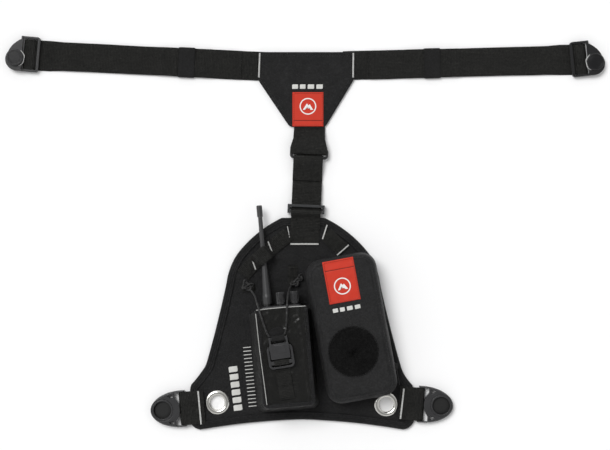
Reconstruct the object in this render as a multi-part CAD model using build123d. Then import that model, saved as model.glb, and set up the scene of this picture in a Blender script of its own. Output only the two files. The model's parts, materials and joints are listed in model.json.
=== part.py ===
"""Chest harness with a two-way radio in a clear-fronted pocket and a zipped pouch.

The harness lies flat, front side up. Units are millimetres, +Z is up, +Y points to the
wearer's head and +X to the right. The origin is on the floor, under the middle of the
whole outline. Each function builds one group of pieces and writes them as parts/NODE.step.
"""
from build123d import *
from math import cos, radians, sin
import os

# ---------------------------------------------------------------- driving dimensions
# heights of the chest panel's layers
BINDING_TOP = 6.0
TAPE = 0.8
FACE_TOP = BINDING_TOP - TAPE
FACE = 0.8
LINING = 0.8
BINDING_WIDTH = 11.0

# webbing
WEBBING = 1.6
THIN_WEBBING = 1.3
SHOULDER_WIDTH = 38.0
CENTER_WIDTH = 40.0
DAISY_WIDTH = 20.0
CORNER_WIDTH = 45.0
POCKET_STRAP_WIDTH = 20.0

# chest panel: half outline about its own middle line
PANEL_X = -2.0
HIP_X = -4.0
NECK = (29.0, 22.0)
SHOULDER = (89.5, -27.0)
SIDE_TOP = (104.5, -68.0)
SIDE_LOW = (132.0, -178.0)
HIP_TOP = (151.5, -206.0)
HIP_LOW = (152.5, -243.0)
HEM_END = (137.5, -265.5)
HEM_Y = -251.6

# grommets
GROMMET_BORE = 10.0
GROMMET_WALL = 0.8
GROMMET_RIM = 16.3
GROMMETS = {"left": (-118.6, -228.5), "right": (110.6, -231.2)}

# yoke and shoulder straps
YOKE_OUTLINE = [(-63.5, 209.4), (-20.5, 145.5), (28.0, 145.5), (67.7, 211.0), (67.0, 247.0), (-62.8, 247.0)]
YOKE_LINING = 0.8
YOKE_CORE_TOP = YOKE_LINING + WEBBING
YOKE_TOP = YOKE_CORE_TOP + 1.4
TAIL_END = 34.0
TAIL = 1.4
# along each strap, from its sewn end: the middle of its keeper and of its buckle
KEEPER_AT = {"left": 110.5, "right": 121.0}
BUCKLE_AT = {"left": 323.0, "right": 321.8}
KEEPER_LIFT = 1.3

# shoulder buckle, in its own frame: +X runs outboard along the strap
FRAME_HEIGHT = 47.5
FRAME_INNER = 42.0
HEAD_CENTER = (17.0, -8.3)
HEAD_RADIUS = 15.5
STUD_CENTER = (19.5, -6.5)
STUD_RADIUS = 11.6

# corner buckle, in its own frame: +X runs outboard from the webbing bar
CORNER_LENGTH = 44.3
CORNER_HEIGHT = 49.0
CORNER_BAR_RADIUS = 2.2
CORNER_BAR_Z = 4.7
RECESS_X = 28.2
RECESS_RADIUS = 12.0
RECESS_DEPTH = 5.5
HINGE_GAP = 0.35

# radio, in its own frame: origin at the middle of its top edge, +Y out of the pocket
RADIO_WIDTH = 58.0
RADIO_LENGTH = 130.0
RADIO_BACK = 7.0
RADIO_SPLIT = 25.0
RADIO_FRONT = 40.5
RADIO_CORNER = 7.0
BATTERY_LENGTH = 100.0
BATTERY_TOP = 17.0
CASING = 2.0
ANTENNA_X = -18.2
ANTENNA_Z = 15.0
ANTENNA_LENGTH = 136.0
KNOB_Z = 24.0
KNOB_X = {"volume": -0.4, "channel": 18.6}
KNOB_RADIUS = 5.9
KNOB_HEIGHT = 16.0
SHAFT_RADIUS = 3.0
SIDE_KEY_Y = {"upper": -24.0, "lower": -66.0}

# pocket, in the radio's frame
POCKET_TOP = 42.0
FILM = 1.0
POCKET_SKIN = 1.2

# pouch, in its own frame
POUCH_WIDTH = 95.0
POUCH_LENGTH = 194.3
POUCH_CORNER = 20.0
POUCH_FACE_INSET = 4.5
POUCH_WALL = 2.2
POUCH_BACK = BINDING_TOP + 0.1
POUCH_FOOT_INSET = 4.0
ZIP_LOW = 19.0
ZIP_HIGH = 24.0
POUCH_TOP = 38.0
SLIDER_Y = -62.0

# frames of the tilted groups
RADIO_FRAME = Pos(-31.6, -95.2, 0) * Rot(0, 0, 5)
POUCH_FRAME = Pos(62.7, -126.2, 0) * Rot(0, 0, 10.5)
HOLD_FRAME = Pos(-32.2, -160.5, 0) * Rot(0, 0, 9)
CENTER_FRAME = Pos(-0.3, -13.6, 0) * Rot(0, 0, -2.5)
LEFT_STRAP_FRAME = Pos(-50.0, 227.4, 0) * Rot(0, 0, 177.2)
RIGHT_STRAP_FRAME = Pos(52.0, 228.6, 0) * Rot(0, 0, 1.5)
LEFT_BUCKLE_FRAME = Pos(-372.6, 243.9, 0) * Rot(0, 0, 175)
RIGHT_BUCKLE_FRAME = Pos(373.7, 237.5, 0) * Rot(0, 0, 6)
LEFT_CORNER_FRAME = Pos(-164.7, -236.6, 0) * Rot(0, 0, 184.5)
RIGHT_CORNER_FRAME = Pos(156.8, -230.7, 0) * Rot(0, 0, -4)


# ---------------------------------------------------------------- helpers
def save(name, shape):
    """Write one node, and print its volume."""
    export_step(shape, "parts/" + name + ".step")
    print(name, round(shape.volume, 1))


def polygon(points):
    """A flat face from corner points."""
    return make_face(Polyline(*points, close=True))


def prism(face, low, high):
    """A flat face at height zero, raised between two heights."""
    return Pos(0, 0, low) * extrude(face, high - low, dir=(0, 0, 1))


def block(x0, x1, y0, y1, z0, z1, radius=0.0):
    """A box between limits, with its upright edges rounded if a radius is given."""
    width = x1 - x0
    length = y1 - y0
    face = RectangleRounded(width, length, radius) if radius else Rectangle(width, length)
    return Pos((x0 + x1) / 2, (y0 + y1) / 2, 0) * prism(face, z0, z1)


def ribbon(path, thickness, width):
    """Webbing: a side view in X and Z, thickened upwards, as wide as given along Y."""
    top = [(x, z + thickness) for x, z in reversed(path)]
    side = polygon(list(path) + top)
    upright = Plane(origin=(0, width / 2, 0), x_dir=(1, 0, 0), z_dir=(0, -1, 0))
    return extrude(upright * side, width)


def along_x(side, width):
    """A side view in X and Z, made as wide as given, centred on Y."""
    upright = Plane(origin=(0, width / 2, 0), x_dir=(1, 0, 0), z_dir=(0, -1, 0))
    return extrude(upright * side, width)


def rod(radius, y0, y1, x, z):
    """A round rod along Y."""
    turn = Plane(origin=(x, y0, z), x_dir=(1, 0, 0), z_dir=(0, 1, 0))
    return extrude(turn * Circle(radius), y1 - y0)


def strip(start, end, width, low, high):
    """A flat strip between two points of the plan."""
    run = Vector(*end) - Vector(*start)
    middle = (Vector(*end) + Vector(*start)) / 2
    angle = Vector(1, 0).get_signed_angle(run, Vector(0, 0, 1))
    face = Rectangle(run.length, width)
    return Pos(middle.X, middle.Y, 0) * Rot(0, 0, angle) * prism(face, low, high)


# ---------------------------------------------------------------- chest panel
def middle_at(y):
    """The panel's middle line: the hips sit a little further left than the shoulders."""
    return HIP_X if y < SIDE_LOW[1] - 1 else PANEL_X


def panel_outline():
    """The bell-shaped plan of the chest panel, mirrored about its middle line."""
    def right(point):
        return (middle_at(point[1]) + point[0], point[1])

    def left(point):
        return (middle_at(point[1]) - point[0], point[1])

    edges = []
    for side in (right, left):
        edges.append(ThreePointArc(side(NECK), side((61.5, 1.6)), side(SHOULDER)))
        edges.append(ThreePointArc(side(SHOULDER), side((99.0, -45.5)), side(SIDE_TOP)))
        edges.append(ThreePointArc(side(SIDE_TOP), side((117.5, -124.0)), side(SIDE_LOW)))
        edges.append(ThreePointArc(side(SIDE_LOW), side((140.5, -193.0)), side(HIP_TOP)))
        edges.append(Line(side(HIP_TOP), side(HIP_LOW)))
        edges.append(ThreePointArc(side(HIP_LOW), side((149.5, -259.0)), side(HEM_END)))
        edges.append(ThreePointArc(side(HEM_END), side((69.0, -256.0)), (HIP_X, HEM_Y)))
    edges.append(Line(right(NECK), left(NECK)))
    return make_face(edges)


def chest_panel():
    """Lining, foam and face cloth inside a folded edge tape, with two eyelets."""
    outline = panel_outline()
    core = offset(outline, -TAPE)
    window = offset(outline, -BINDING_WIDTH)
    holes = Part()
    for x, y in GROMMETS.values():
        holes += Pos(x, y, 0) * Cylinder(GROMMET_BORE + GROMMET_WALL, 40)
    lining_top = TAPE + LINING
    foam_top = FACE_TOP - FACE
    save("panel_lining", prism(core, TAPE, lining_top) - holes)
    save("panel_foam", prism(core, lining_top, foam_top) - holes)
    save("panel_face", prism(core, foam_top, FACE_TOP) - holes)
    binding = prism(outline, 0, BINDING_TOP) - prism(core, TAPE, FACE_TOP)
    save("panel_binding", binding - prism(window, -1, BINDING_TOP + 1))

    barrel = GROMMET_BORE + GROMMET_WALL
    middle = (GROMMET_BORE + GROMMET_RIM) / 2
    rim_top = FACE_TOP + 1.5
    washers = Part()
    for side, (x, y) in GROMMETS.items():
        # half section of the eyelet: a barrel with a rolled rim on the face
        section = make_face([
            Line((GROMMET_BORE, 0), (barrel, 0)),
            Line((barrel, 0), (barrel, FACE_TOP)),
            Line((barrel, FACE_TOP), (GROMMET_RIM, FACE_TOP)),
            ThreePointArc((GROMMET_RIM, FACE_TOP), (middle, rim_top), (GROMMET_BORE, FACE_TOP)),
            Line((GROMMET_BORE, FACE_TOP), (GROMMET_BORE, 0)),
        ])
        eyelet = revolve(Plane.XZ * section, Axis.Z)
        save("grommet_" + side, Pos(x, y, 0) * eyelet)
        washer = Cylinder(GROMMET_RIM, TAPE) - Cylinder(barrel, TAPE)
        washers += Pos(x, y, TAPE / 2) * washer
    save("grommet_washers", washers)


def panel_webbing():
    """Daisy-chain webbing on the shoulders of the panel, and the cord anchors."""
    low = BINDING_TOP + 0.05
    high = low + THIN_WEBBING
    left = strip((-28.0, -5.4), (-43.0, -17.5), DAISY_WIDTH, low, high)
    left += strip((-70.5, -40.5), (-83.0, -55.5), DAISY_WIDTH, low, high)
    # the slack loop between its two bar tacks arches over the antenna
    rise = 20.9
    start = Vector(-43.0, -17.5)
    finish = Vector(-70.5, -40.5)
    span = (finish - start).length
    arch = [(0, low), (2, low), (4.5, rise), (span - 4.5, rise), (span - 2, low), (span, low)]
    angle = Vector(1, 0).get_signed_angle(finish - start, Vector(0, 0, 1))
    loop = thick_path(arch, THIN_WEBBING)
    left += Pos(start.X, start.Y, 0) * Rot(0, 0, angle) * along_x(loop, DAISY_WIDTH)
    save("daisy_webbing_left", left)

    right = strip((29.0, 0.0), (52.5, -23.0), DAISY_WIDTH, low, high)
    save("daisy_webbing_right", right)

    flat = FACE_TOP + THIN_WEBBING
    anchors = block(-22.5, -9.5, -69.0, -42.0, FACE_TOP, flat)
    anchors += block(-84.0, -67.0, -78.5, -68.0, FACE_TOP, flat)
    save("cord_anchors", anchors)


def thick_path(points, thickness):
    """A side view of webbing: the path is its underside, offset square to each run."""
    upper = []
    count = len(points)
    for i, (x, z) in enumerate(points):
        before = Vector(*points[max(i - 1, 0)])
        after = Vector(*points[min(i + 1, count - 1)])
        here = Vector(x, z)
        runs = []
        if i > 0:
            runs.append((here - before).normalized())
        if i < count - 1:
            runs.append((after - here).normalized())
        along = runs[0] if len(runs) == 1 else (runs[0] + runs[1]).normalized()
        reach = thickness / max(abs(along.dot(runs[0])), 0.3)
        upper.append((x - along.Y * reach, z + along.X * reach))
    return polygon(list(points) + upper[::-1])


def corner_group(side, frame):
    """A webbing tab on the panel's corner, and the round-headed buckle on its loop."""
    inner = CORNER_BAR_RADIUS + HINGE_GAP
    outer = inner + THIN_WEBBING
    bar_z = CORNER_BAR_Z
    tab_low = BINDING_TOP
    tab_end = -28.0
    # side view of the tab: out along the top, round the bar and back underneath it
    upper_z = bar_z + outer
    lower_z = bar_z - outer
    loop = make_face([
        Line((tab_end, tab_low), (tab_end, tab_low + 2 * THIN_WEBBING + 0.3)),
        Line((tab_end, tab_low + 2 * THIN_WEBBING + 0.3), (0, upper_z)),
        ThreePointArc((0, upper_z), (outer, bar_z), (0, lower_z)),
        Line((0, lower_z), (-2.0, lower_z)),
        Line((-2.0, lower_z), (-6.2, tab_low)),
        Line((-6.2, tab_low), (tab_end, tab_low)),
    ])
    slit = make_face([
        Line((-4.6, bar_z + 0.9), (0, bar_z + inner)),
        ThreePointArc((0, bar_z + inner), (inner, bar_z), (0, bar_z - inner)),
        Line((0, bar_z - inner), (-1.2, bar_z - inner)),
        Line((-1.2, bar_z - inner), (-4.6, bar_z + 0.9)),
    ])
    tab = along_x(loop, CORNER_WIDTH) - along_x(slit, CORNER_WIDTH + 1)
    save("corner_webbing_" + side, frame * tab)

    half = CORNER_HEIGHT / 2
    top = 8.6
    nose = Pos(3, 0, 0) * Ellipse(CORNER_LENGTH - 3, half)
    plan = (nose & Pos(33, 0, 0) * Rectangle(60, 60)) + Rectangle(6, CORNER_HEIGHT)
    body = prism(plan, 0.3, top)
    body = chamfer(body.edges().group_by(Axis.Z)[-1], 1.4)
    disc = Pos(RECESS_X, 0, 0) * Circle(23.6)
    rail = 1.7
    throat = Pos(3.0, 0, 0) * Rectangle(16.0, CORNER_HEIGHT - 2 * rail) - disc
    body -= prism(throat, -1, top + 1)
    for end in (1, -1):
        vent = polygon([(13.2, 14.6 * end), (13.7, 20.6 * end), (17.0, 20.0 * end), (21.0, 17.6 * end)])
        body -= prism(vent, -1, top + 1)
    body += rod(CORNER_BAR_RADIUS, -half + rail / 2, half - rail / 2, 0, bar_z)
    body -= Pos(RECESS_X, 0, top - RECESS_DEPTH) * extrude(Circle(RECESS_RADIUS), 20)
    body -= Pos(RECESS_X, 0, top - 0.8) * extrude(Circle(15.2) - Circle(14.0), 5)
    save("corner_buckle_" + side, frame * body)


# ---------------------------------------------------------------- yoke and straps
def yoke():
    """The upper panel that joins the two shoulder straps to the centre strap."""
    plan = polygon(YOKE_OUTLINE)
    core = prism(plan, YOKE_LINING, YOKE_CORE_TOP)
    for frame in (LEFT_STRAP_FRAME, RIGHT_STRAP_FRAME):
        core -= frame * block(-0.2, 60, -SHOULDER_WIDTH / 2 - 0.3, SHOULDER_WIDTH / 2 + 0.3, -1, 10)
    core -= CENTER_FRAME * block(-CENTER_WIDTH / 2 - 0.3, CENTER_WIDTH / 2 + 0.3, 150, 176, -1, 10)
    save("yoke_lining", prism(plan, 0, YOKE_LINING) + core)
    save("yoke_face", prism(plan, YOKE_CORE_TOP, YOKE_TOP))
    save("yoke_tag", Pos(4.4, 169.2, 0) * prism(RectangleRounded(42, 46.5, 1), YOKE_TOP, YOKE_TOP + 0.8))


def shoulder_side(side, strap_frame, buckle_frame):
    """One shoulder strap, its elastic keeper and its buckle with a round stud."""
    keeper_x = KEEPER_AT[side]
    out = BUCKLE_AT[side]
    # the strap rests on the floor, lifted where the keeper can slide under it
    low_run = [
        (0.3, YOKE_LINING), (16, YOKE_LINING), (24, 0), (keeper_x - 38, 0), (keeper_x - 34, KEEPER_LIFT),
        (keeper_x + 34, KEEPER_LIFT), (keeper_x + 38, 0), (out + 7.7, 0),
    ]
    strap = ribbon(low_run, WEBBING, SHOULDER_WIDTH)
    tail = thick_path([
        (TAIL_END, WEBBING), (keeper_x - 38, WEBBING), (keeper_x - 34, WEBBING + KEEPER_LIFT),
        (keeper_x + 34, WEBBING + KEEPER_LIFT), (keeper_x + 38, WEBBING), (out - 14, WEBBING),
        (out - 8.3, 2.5), (out - 5.1, 5.3), (out + 4.6, 5.3), (out + 7.1, 3.6), (out + 7.2, WEBBING - 0.1),
    ], TAIL)
    strap += along_x(tail, SHOULDER_WIDTH)
    save("shoulder_strap_" + side, strap_frame * strap)

    keeper = block(-11, 11, -SHOULDER_WIDTH / 2 - 1.8, SHOULDER_WIDTH / 2 + 1.8, 0, 5.8)
    keeper -= block(-12, 12, -SHOULDER_WIDTH / 2 - 0.4, SHOULDER_WIDTH / 2 + 0.4, 0.95, 4.7)
    save("strap_keeper_" + side, strap_frame * Pos(keeper_x, 0, 0) * keeper)

    half = FRAME_HEIGHT / 2
    inner = FRAME_INNER / 2
    rail_out = block(-13.0, 12.0, inner, half, 0.2, 6.4) + block(-13.0, 12.0, -half, -inner, 0.2, 6.4)
    centre_bar = block(-4.4, 4.4, -inner, inner, 2.1, 4.7)
    end_bar = block(-13.0, -9.4, -inner, inner, 4.3, 6.9)
    neck = block(10.4, 13.0, -half, half, 1.9, 7.0)
    fairing = polygon([
        (9.0, half - 3.0), (14.5, 18.6), (19.5, 15.0), (24.0, 10.6), (27.4, 5.6), (29.4, 1.0), HEAD_CENTER,
        (HEAD_CENTER[0], -half), (9.0, -half),
    ])
    head = prism(fairing, 3.6, 8.0) + Pos(*HEAD_CENTER, 3.6) * extrude(Circle(HEAD_RADIUS), 4.4)
    head += Pos(*HEAD_CENTER, 0) * extrude(Circle(HEAD_RADIUS), 4.0) & block(13.5, 40, -40, 40, 0, 10)
    cut = block(-4, 10.4, -inner, inner, -1, 12)
    rounding = prism(Pos(24.0, 0) * RectangleRounded(74.0, FRAME_HEIGHT, 4.5), 0, 12)
    body = (rail_out + end_bar) & rounding
    body += centre_bar + neck + (head - cut)
    stud_seat = Pos(*STUD_CENTER, 7.0) * extrude(Circle(STUD_RADIUS - 1.5), 5)
    body -= stud_seat
    stud = Pos(*STUD_CENTER, 7.0) * extrude(Circle(STUD_RADIUS - 1.5), 1.0)
    disc = Pos(*STUD_CENTER, 8.0) * extrude(Circle(STUD_RADIUS), 3.0)
    disc = chamfer(disc.edges().group_by(Axis.Z)[-1], 0.9)
    stud += disc - Pos(*STUD_CENTER, 10.6) * extrude(Circle(STUD_RADIUS - 3.0) - Circle(STUD_RADIUS - 4.0), 2)
    if side == "left":
        body = mirror(body, Plane.XZ)
        stud = mirror(stud, Plane.XZ)
    save("strap_buckle_" + side, buckle_frame * body)
    save("strap_stud_" + side, buckle_frame * stud)


def center_strap():
    """Adjustable strap between yoke and panel: yoke loop, ring, webbing and slider."""
    turn = Rot(0, 0, 90)
    ring_height = 15.0
    ring_y = 123.0
    ring_z = 6.4
    wire = 1.9
    wrap = wire + HINGE_GAP
    # ring: a rounded rectangle of wire, 50 mm wide
    path_outer = RectangleRounded(52, ring_height, 5)
    path_inner = RectangleRounded(52 - 4 * wire, ring_height - 4 * wire, 1)
    ring = Pos(1.0, ring_y, 0) * prism(path_outer - path_inner, ring_z - wire, ring_z + wire)
    ring = chamfer(ring.edges().group_by(Axis.Z)[0] + ring.edges().group_by(Axis.Z)[-1], 1.1)
    save("center_ring", CENTER_FRAME * ring)

    upper_bar = ring_y + ring_height / 2 - wire
    lower_bar = ring_y - ring_height / 2 + wire

    def wrapped(bar, start, low_start, high_start, sign):
        """Webbing round a ring bar, both layers running back to a start point."""
        outer = wrap + THIN_WEBBING
        blunt = make_face([
            Line((start, low_start), (start, high_start)),
            Line((start, high_start), (bar, ring_z + outer)),
            ThreePointArc((bar, ring_z + outer), (bar - sign * outer, ring_z), (bar, ring_z - outer)),
            Line((bar, ring_z - outer), (start, low_start)),
        ])
        heart = make_face([
            Line((bar + sign * 9.0, ring_z), (bar, ring_z + wrap)),
            ThreePointArc((bar, ring_z + wrap), (bar - sign * wrap, ring_z), (bar, ring_z - wrap)),
            Line((bar, ring_z - wrap), (bar + sign * 9.0, ring_z)),
        ])
        return blunt, heart

    blunt, heart = wrapped(upper_bar, 158.0, 1.5, 4.2, 1)
    loop = along_x(blunt, CENTER_WIDTH) - along_x(heart, 60)
    tongue = ribbon([(157.5, YOKE_LINING), (175, YOKE_LINING)], WEBBING - 0.1, CENTER_WIDTH)
    loop += tongue
    loop -= block(158.1, 180, -40, 40, YOKE_CORE_TOP - 0.1, 10)
    save("upper_strap_loop", CENTER_FRAME * turn * loop)

    blunt, heart = wrapped(lower_bar, 88.0, 0.2, 4.4, -1)
    strap = along_x(blunt, CENTER_WIDTH) - along_x(heart, 60)
    run = [(0, FACE_TOP), (19, FACE_TOP), (22, BINDING_TOP + 0.1), (38, BINDING_TOP + 0.1), (42.5, 4.3),
           (81.0, 4.3), (86.0, 0.2), (88.5, 0.2)]
    strap += ribbon(run, WEBBING, CENTER_WIDTH)
    save("center_strap", CENTER_FRAME * turn * strap)

    slider_y = 47.5
    bar_radius = 1.7
    half = 25.0
    slider = Part()
    for y in (slider_y - 4.2, slider_y + 4.2):
        slider += block(-half, half, y - bar_radius, y + bar_radius, 0.4 + 6.4, 3.4 + 6.4)
    slider += block(-half + 2, half - 2, slider_y - 1.4, slider_y + 1.4, 1.2, 3.6)
    for x in (-half, half - 2.6):
        slider += block(x, x + 2.6, slider_y - 6, slider_y + 6, 1.2, 9.8)
    save("strap_slider", CENTER_FRAME * slider)


# ---------------------------------------------------------------- radio
def radio_plan(inset=0.0):
    """Plan of the radio body, a little narrower towards its foot."""
    half = RADIO_WIDTH / 2 - inset
    foot = half - 1.5
    top = -inset
    low = -RADIO_LENGTH + inset
    face = polygon([(-half, top), (half, top), (foot, low), (-foot, low)])
    return fillet(face.vertices(), RADIO_CORNER - inset)


def radio():
    """Two-way radio: casings, battery, board, speaker, display, keys and knobs."""
    place = RADIO_FRAME
    plan = radio_plan()
    cavity = radio_plan(CASING)

    front = prism(plan, RADIO_SPLIT, RADIO_FRONT)
    front = fillet(front.edges().group_by(Axis.Z)[-1], 2.4)
    front -= prism(cavity, RADIO_SPLIT - 1, RADIO_FRONT - CASING)
    display_hole = block(-17, 17, -42, -20, 20, 60, 2)
    keypad_hole = block(-19, 19, -86, -50, 20, 60, 3)
    front -= display_hole + keypad_hole
    for row in range(5):
        y = -94.0 - 5.0 * row
        front -= block(-14, 14, y - 1, y + 1, 20, 60)
    save("radio_front_housing", place * front)

    rear = prism(plan, RADIO_BACK, RADIO_SPLIT)
    rear -= prism(cavity, BATTERY_TOP + CASING, RADIO_SPLIT + 1)
    battery_bay = block(-40, 40, -RADIO_LENGTH - 1, -RADIO_LENGTH + BATTERY_LENGTH, 0, BATTERY_TOP)
    rear -= battery_bay
    button_x = -RADIO_WIDTH / 2
    ptt_hole = block(button_x - 2, button_x + 6, -58, -32, 19.0, 33.0)
    key_holes = Part()
    for y in SIDE_KEY_Y.values():
        key_holes += block(button_x - 2, button_x + 6, y - 4, y + 4, 21.0, 29.0)
    shafts = Part()
    for x in KNOB_X.values():
        shafts += rod(SHAFT_RADIUS + 0.05, -6, 4, x, KNOB_Z)
    socket_hole = rod(4.0, -8, 4, ANTENNA_X, ANTENNA_Z)
    rear -= ptt_hole + key_holes + shafts + socket_hole
    save("radio_rear_housing", place * rear)
    front_again = front - ptt_hole - key_holes - shafts
    save("radio_front_housing", place * front_again)

    battery = prism(plan, RADIO_BACK, BATTERY_TOP - 0.2)
    battery &= block(-40, 40, -RADIO_LENGTH - 1, -RADIO_LENGTH + BATTERY_LENGTH - 0.3, 0, 60)
    save("radio_battery", place * battery)

    board = block(-24, 24, -122, -10, 21.0, 22.6)
    save("radio_circuit_board", place * board)
    speaker = Pos(0, -104, 31) * extrude(Circle(17), 4.5) + Pos(0, -104, 26) * extrude(Circle(9), 5)
    save("radio_speaker", place * speaker)
    display = block(-16.8, 16.8, -41.8, -20.2, 36.4, 39.6, 1.8)
    save("radio_display", place * display)

    keypad = block(-20.5, 20.5, -87.5, -48.5, 36.0, 38.0, 3)
    for row in range(4):
        for column in (-1, 0, 1):
            x = 12.2 * column
            y = -54.6 - 8.9 * row
            keypad += block(x - 5, x + 5, y - 3, y + 3, 38.0, 40.2, 1.5)
    save("radio_keypad", place * keypad)

    for name, x in KNOB_X.items():
        shaft = rod(SHAFT_RADIUS, -5.5, 1.6, x, KNOB_Z)
        knob = rod(KNOB_RADIUS, 1.2, 1.2 + KNOB_HEIGHT, x, KNOB_Z)
        knob = fillet(knob.edges().group_by(Axis.Y)[-1], 0.9)
        for step in range(12):
            angle = radians(30 * step)
            flute = rod(0.8, 3.5, 30, x + KNOB_RADIUS * cos(angle), KNOB_Z + KNOB_RADIUS * sin(angle))
            knob -= flute
        save("radio_" + name + "_knob", place * (knob + shaft))

    socket = rod(3.9, -7.5, 0.4, ANTENNA_X, ANTENNA_Z) + rod(6.4, 0.4, 2.4, ANTENNA_X, ANTENNA_Z)
    save("radio_antenna_socket", place * socket)
    # antenna: half section turned about the antenna's own axis
    tip = ANTENNA_LENGTH
    section = polygon([
        (0, 2.5), (6.6, 2.5), (6.6, 12), (5.9, 16), (4.4, 40), (3.3, 58), (2.9, tip - 16), (0, tip - 16),
    ])
    upright = Plane(origin=(ANTENNA_X, 0, ANTENNA_Z), x_dir=(1, 0, 0), z_dir=(0, 0, 1))
    axis = Axis((ANTENNA_X, 0, ANTENNA_Z), (0, 1, 0))
    save("radio_antenna", place * revolve(upright * section, axis))
    cap = rod(3.9, tip - 15.9, tip, ANTENNA_X, ANTENNA_Z)
    cap = fillet(cap.edges().group_by(Axis.Y)[-1], 1.6)
    save("radio_antenna_tip", place * cap)

    ptt = block(button_x - 1.6, button_x + 3.0, -57.7, -32.3, 19.3, 32.7)
    ptt = chamfer(ptt.edges().group_by(Axis.X)[0], 0.9)
    save("radio_ptt_button", place * ptt)
    for name, y in SIDE_KEY_Y.items():
        key = block(button_x - 0.9, button_x + 3.0, y - 3.7, y + 3.7, 21.3, 28.7)
        key = chamfer(key.edges().group_by(Axis.X)[0], 0.5)
        save("radio_side_key_" + name, place * key)


# ---------------------------------------------------------------- pocket and hold-down
def pocket():
    """Slanted side walls, a clear film front, and the strap of the hold-down."""
    place = RADIO_FRAME
    base = [(-44.0, -10.0), (38.5, -10.0), (38.5, -143.5), (-42.0, -143.5)]
    crest = [(-32.2, -3.0), (32.2, -3.0), (32.2, -133.4), (-32.2, -133.4)]
    low = FACE_TOP + 0.05

    def walls(shrink):
        """The solid that a side wall's outer or inner surface encloses."""
        foot = [(x - shrink * (1 if x > 0 else -1), y + shrink * (y < -50)) for x, y in base]
        rim = [(x - shrink * (1 if x > 0 else -1), y + shrink * (y < -50)) for x, y in crest]
        sections = [Pos(0, 0, low) * polygon(foot), Pos(0, 0, POCKET_TOP) * polygon(rim)]
        return loft(sections)

    outer = walls(0.0)
    inner = walls(POCKET_SKIN)
    mouth = block(-31.0, 31.0, -40, 20, low - 1, POCKET_TOP + 1)
    gusset = outer - inner - mouth
    save("pocket_gusset", place * gusset)

    film = Pos(0, -68.2, 0) * prism(RectangleRounded(64.4, 130.4, 5), POCKET_TOP + 0.02, POCKET_TOP + FILM)
    save("pocket_window", place * film)


def hold_down():
    """Side-release buckle, its webbing, and the elastic cord tab over the radio."""
    place = HOLD_FRAME
    deck = POCKET_TOP + FILM + 0.3
    low = deck + 1.7
    top = low + 6.6
    # upper half: a flat box open at both sides and at its foot, with a bar for the tab's webbing
    lid = block(-13, 13, -5.0, 15.5, top - 1.8, top, 2)
    floor = block(-13, 13, -5.0, 15.5, low, low + 1.6, 2)
    end = block(-12.5, 12.5, 12.8, 15.4, low, top)
    spine = block(-2.0, 2.0, -4.0, 13, low, top)
    pad = block(-7.3, 7.3, 2.8, 13.3, top, top + 0.4, 1)
    cheeks = block(-12.5, -10.0, 15.0, 23.9, low, low + 5.0) + block(10.0, 12.5, 15.0, 23.9, low, low + 5.0)
    bar = block(-12.5, 12.5, 20.6, 23.9, low + 0.6, low + 4.6)
    save("buckle_socket", place * (lid + floor + end + spine + pad + cheeks + bar))

    turn = Rot(0, 0, 90)
    tab = turn * along_x(thick_path([(18.2, deck), (34.5, deck)], THIN_WEBBING), 21)
    tab += turn * along_x(thick_path([(18.0, low + 4.9), (25.6, low + 4.9)], THIN_WEBBING), 18)
    tab += block(-9.0, 9.0, 18.0, 19.3, deck, low + 6.0)
    tab += block(-9.0, 9.0, 24.3, 25.6, deck, low + 6.0)
    save("hold_down_tab", place * tab)

    # lower half: a rounded frame whose two arms hook into the sides of the upper half
    frame = block(-17.2, 17.2, -17.7, 13.0, low + 0.8, low + 5.2, 6)
    frame -= block(-14.2, 14.2, -15.3, 20.0, low, top, 3)
    for side in (1, -1):
        hook = polygon([(10.6 * side, 9.0), (15.5 * side, 5.0), (15.5 * side, 12.4), (10.6 * side, 11.6)])
        frame += prism(hook, low + 2.0, low + 4.4)
    frame += block(-14.6, 14.6, -12.2, -7.3, low + 1.0, low + 4.5)
    save("buckle_prong", place * frame)

    # webbing: up from the pocket, over the middle bar, and back under the frame as a free tail
    half = POCKET_STRAP_WIDTH / 2
    lower_run = thick_path([(-60.0, deck), (-5.8, deck)], 1.1)
    over_run = thick_path([(-14.2, low + 4.7), (-5.8, low + 4.7)], 1.1)
    tail_run = thick_path([(-57.5, deck + 1.25), (-13.0, deck + 1.25)], 1.1)
    strap = Part()
    for run in (lower_run, over_run, tail_run):
        strap += turn * along_x(run, POCKET_STRAP_WIDTH)
    strap += block(-half, half, -6.9, -5.8, deck, low + 5.8)
    strap += block(-half, half, -14.2, -13.1, deck + 1.25, low + 5.8)
    save("pocket_strap", place * strap)


def cord_run(points, radii, diameter):
    """A round cord along straight runs joined by tangent arcs."""
    line = FilletPolyline(*points, radius=radii)
    start = Vector(*points[1]) - Vector(*points[0])
    section = Plane(origin=points[0], z_dir=start) * Circle(diameter / 2)
    tube = sweep(section, path=line)
    return tube, line.length


def cords():
    """Elastic cords from the tab, over the radio's top edge, down to the anchors."""
    left = [
        (-51.0, -131.5, 47.0), (-60.5, -101.5, 48.4), (-65.0, -88.0, 36.5),
        (-68.0, -81.0, 19.0), (-74.5, -74.5, 8.2),
    ]
    right = [
        (-24.6, -127.0, 47.0), (-23.6, -98.5, 48.4), (-23.2, -86.0, 38.0),
        (-22.0, -77.0, 21.0), (-18.0, -67.5, 8.2),
    ]
    radii = [12, 14, 12]
    both = Part()
    for route in (left, right):
        tube, length = cord_run(route, radii, 2.5)
        print("cord length", round(length, 1), "volume over section times length",
              round(tube.volume / (3.14159 * 1.25 ** 2 * length), 3), "radii", radii)
        both += tube
    save("hold_down_cord", both)


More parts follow.
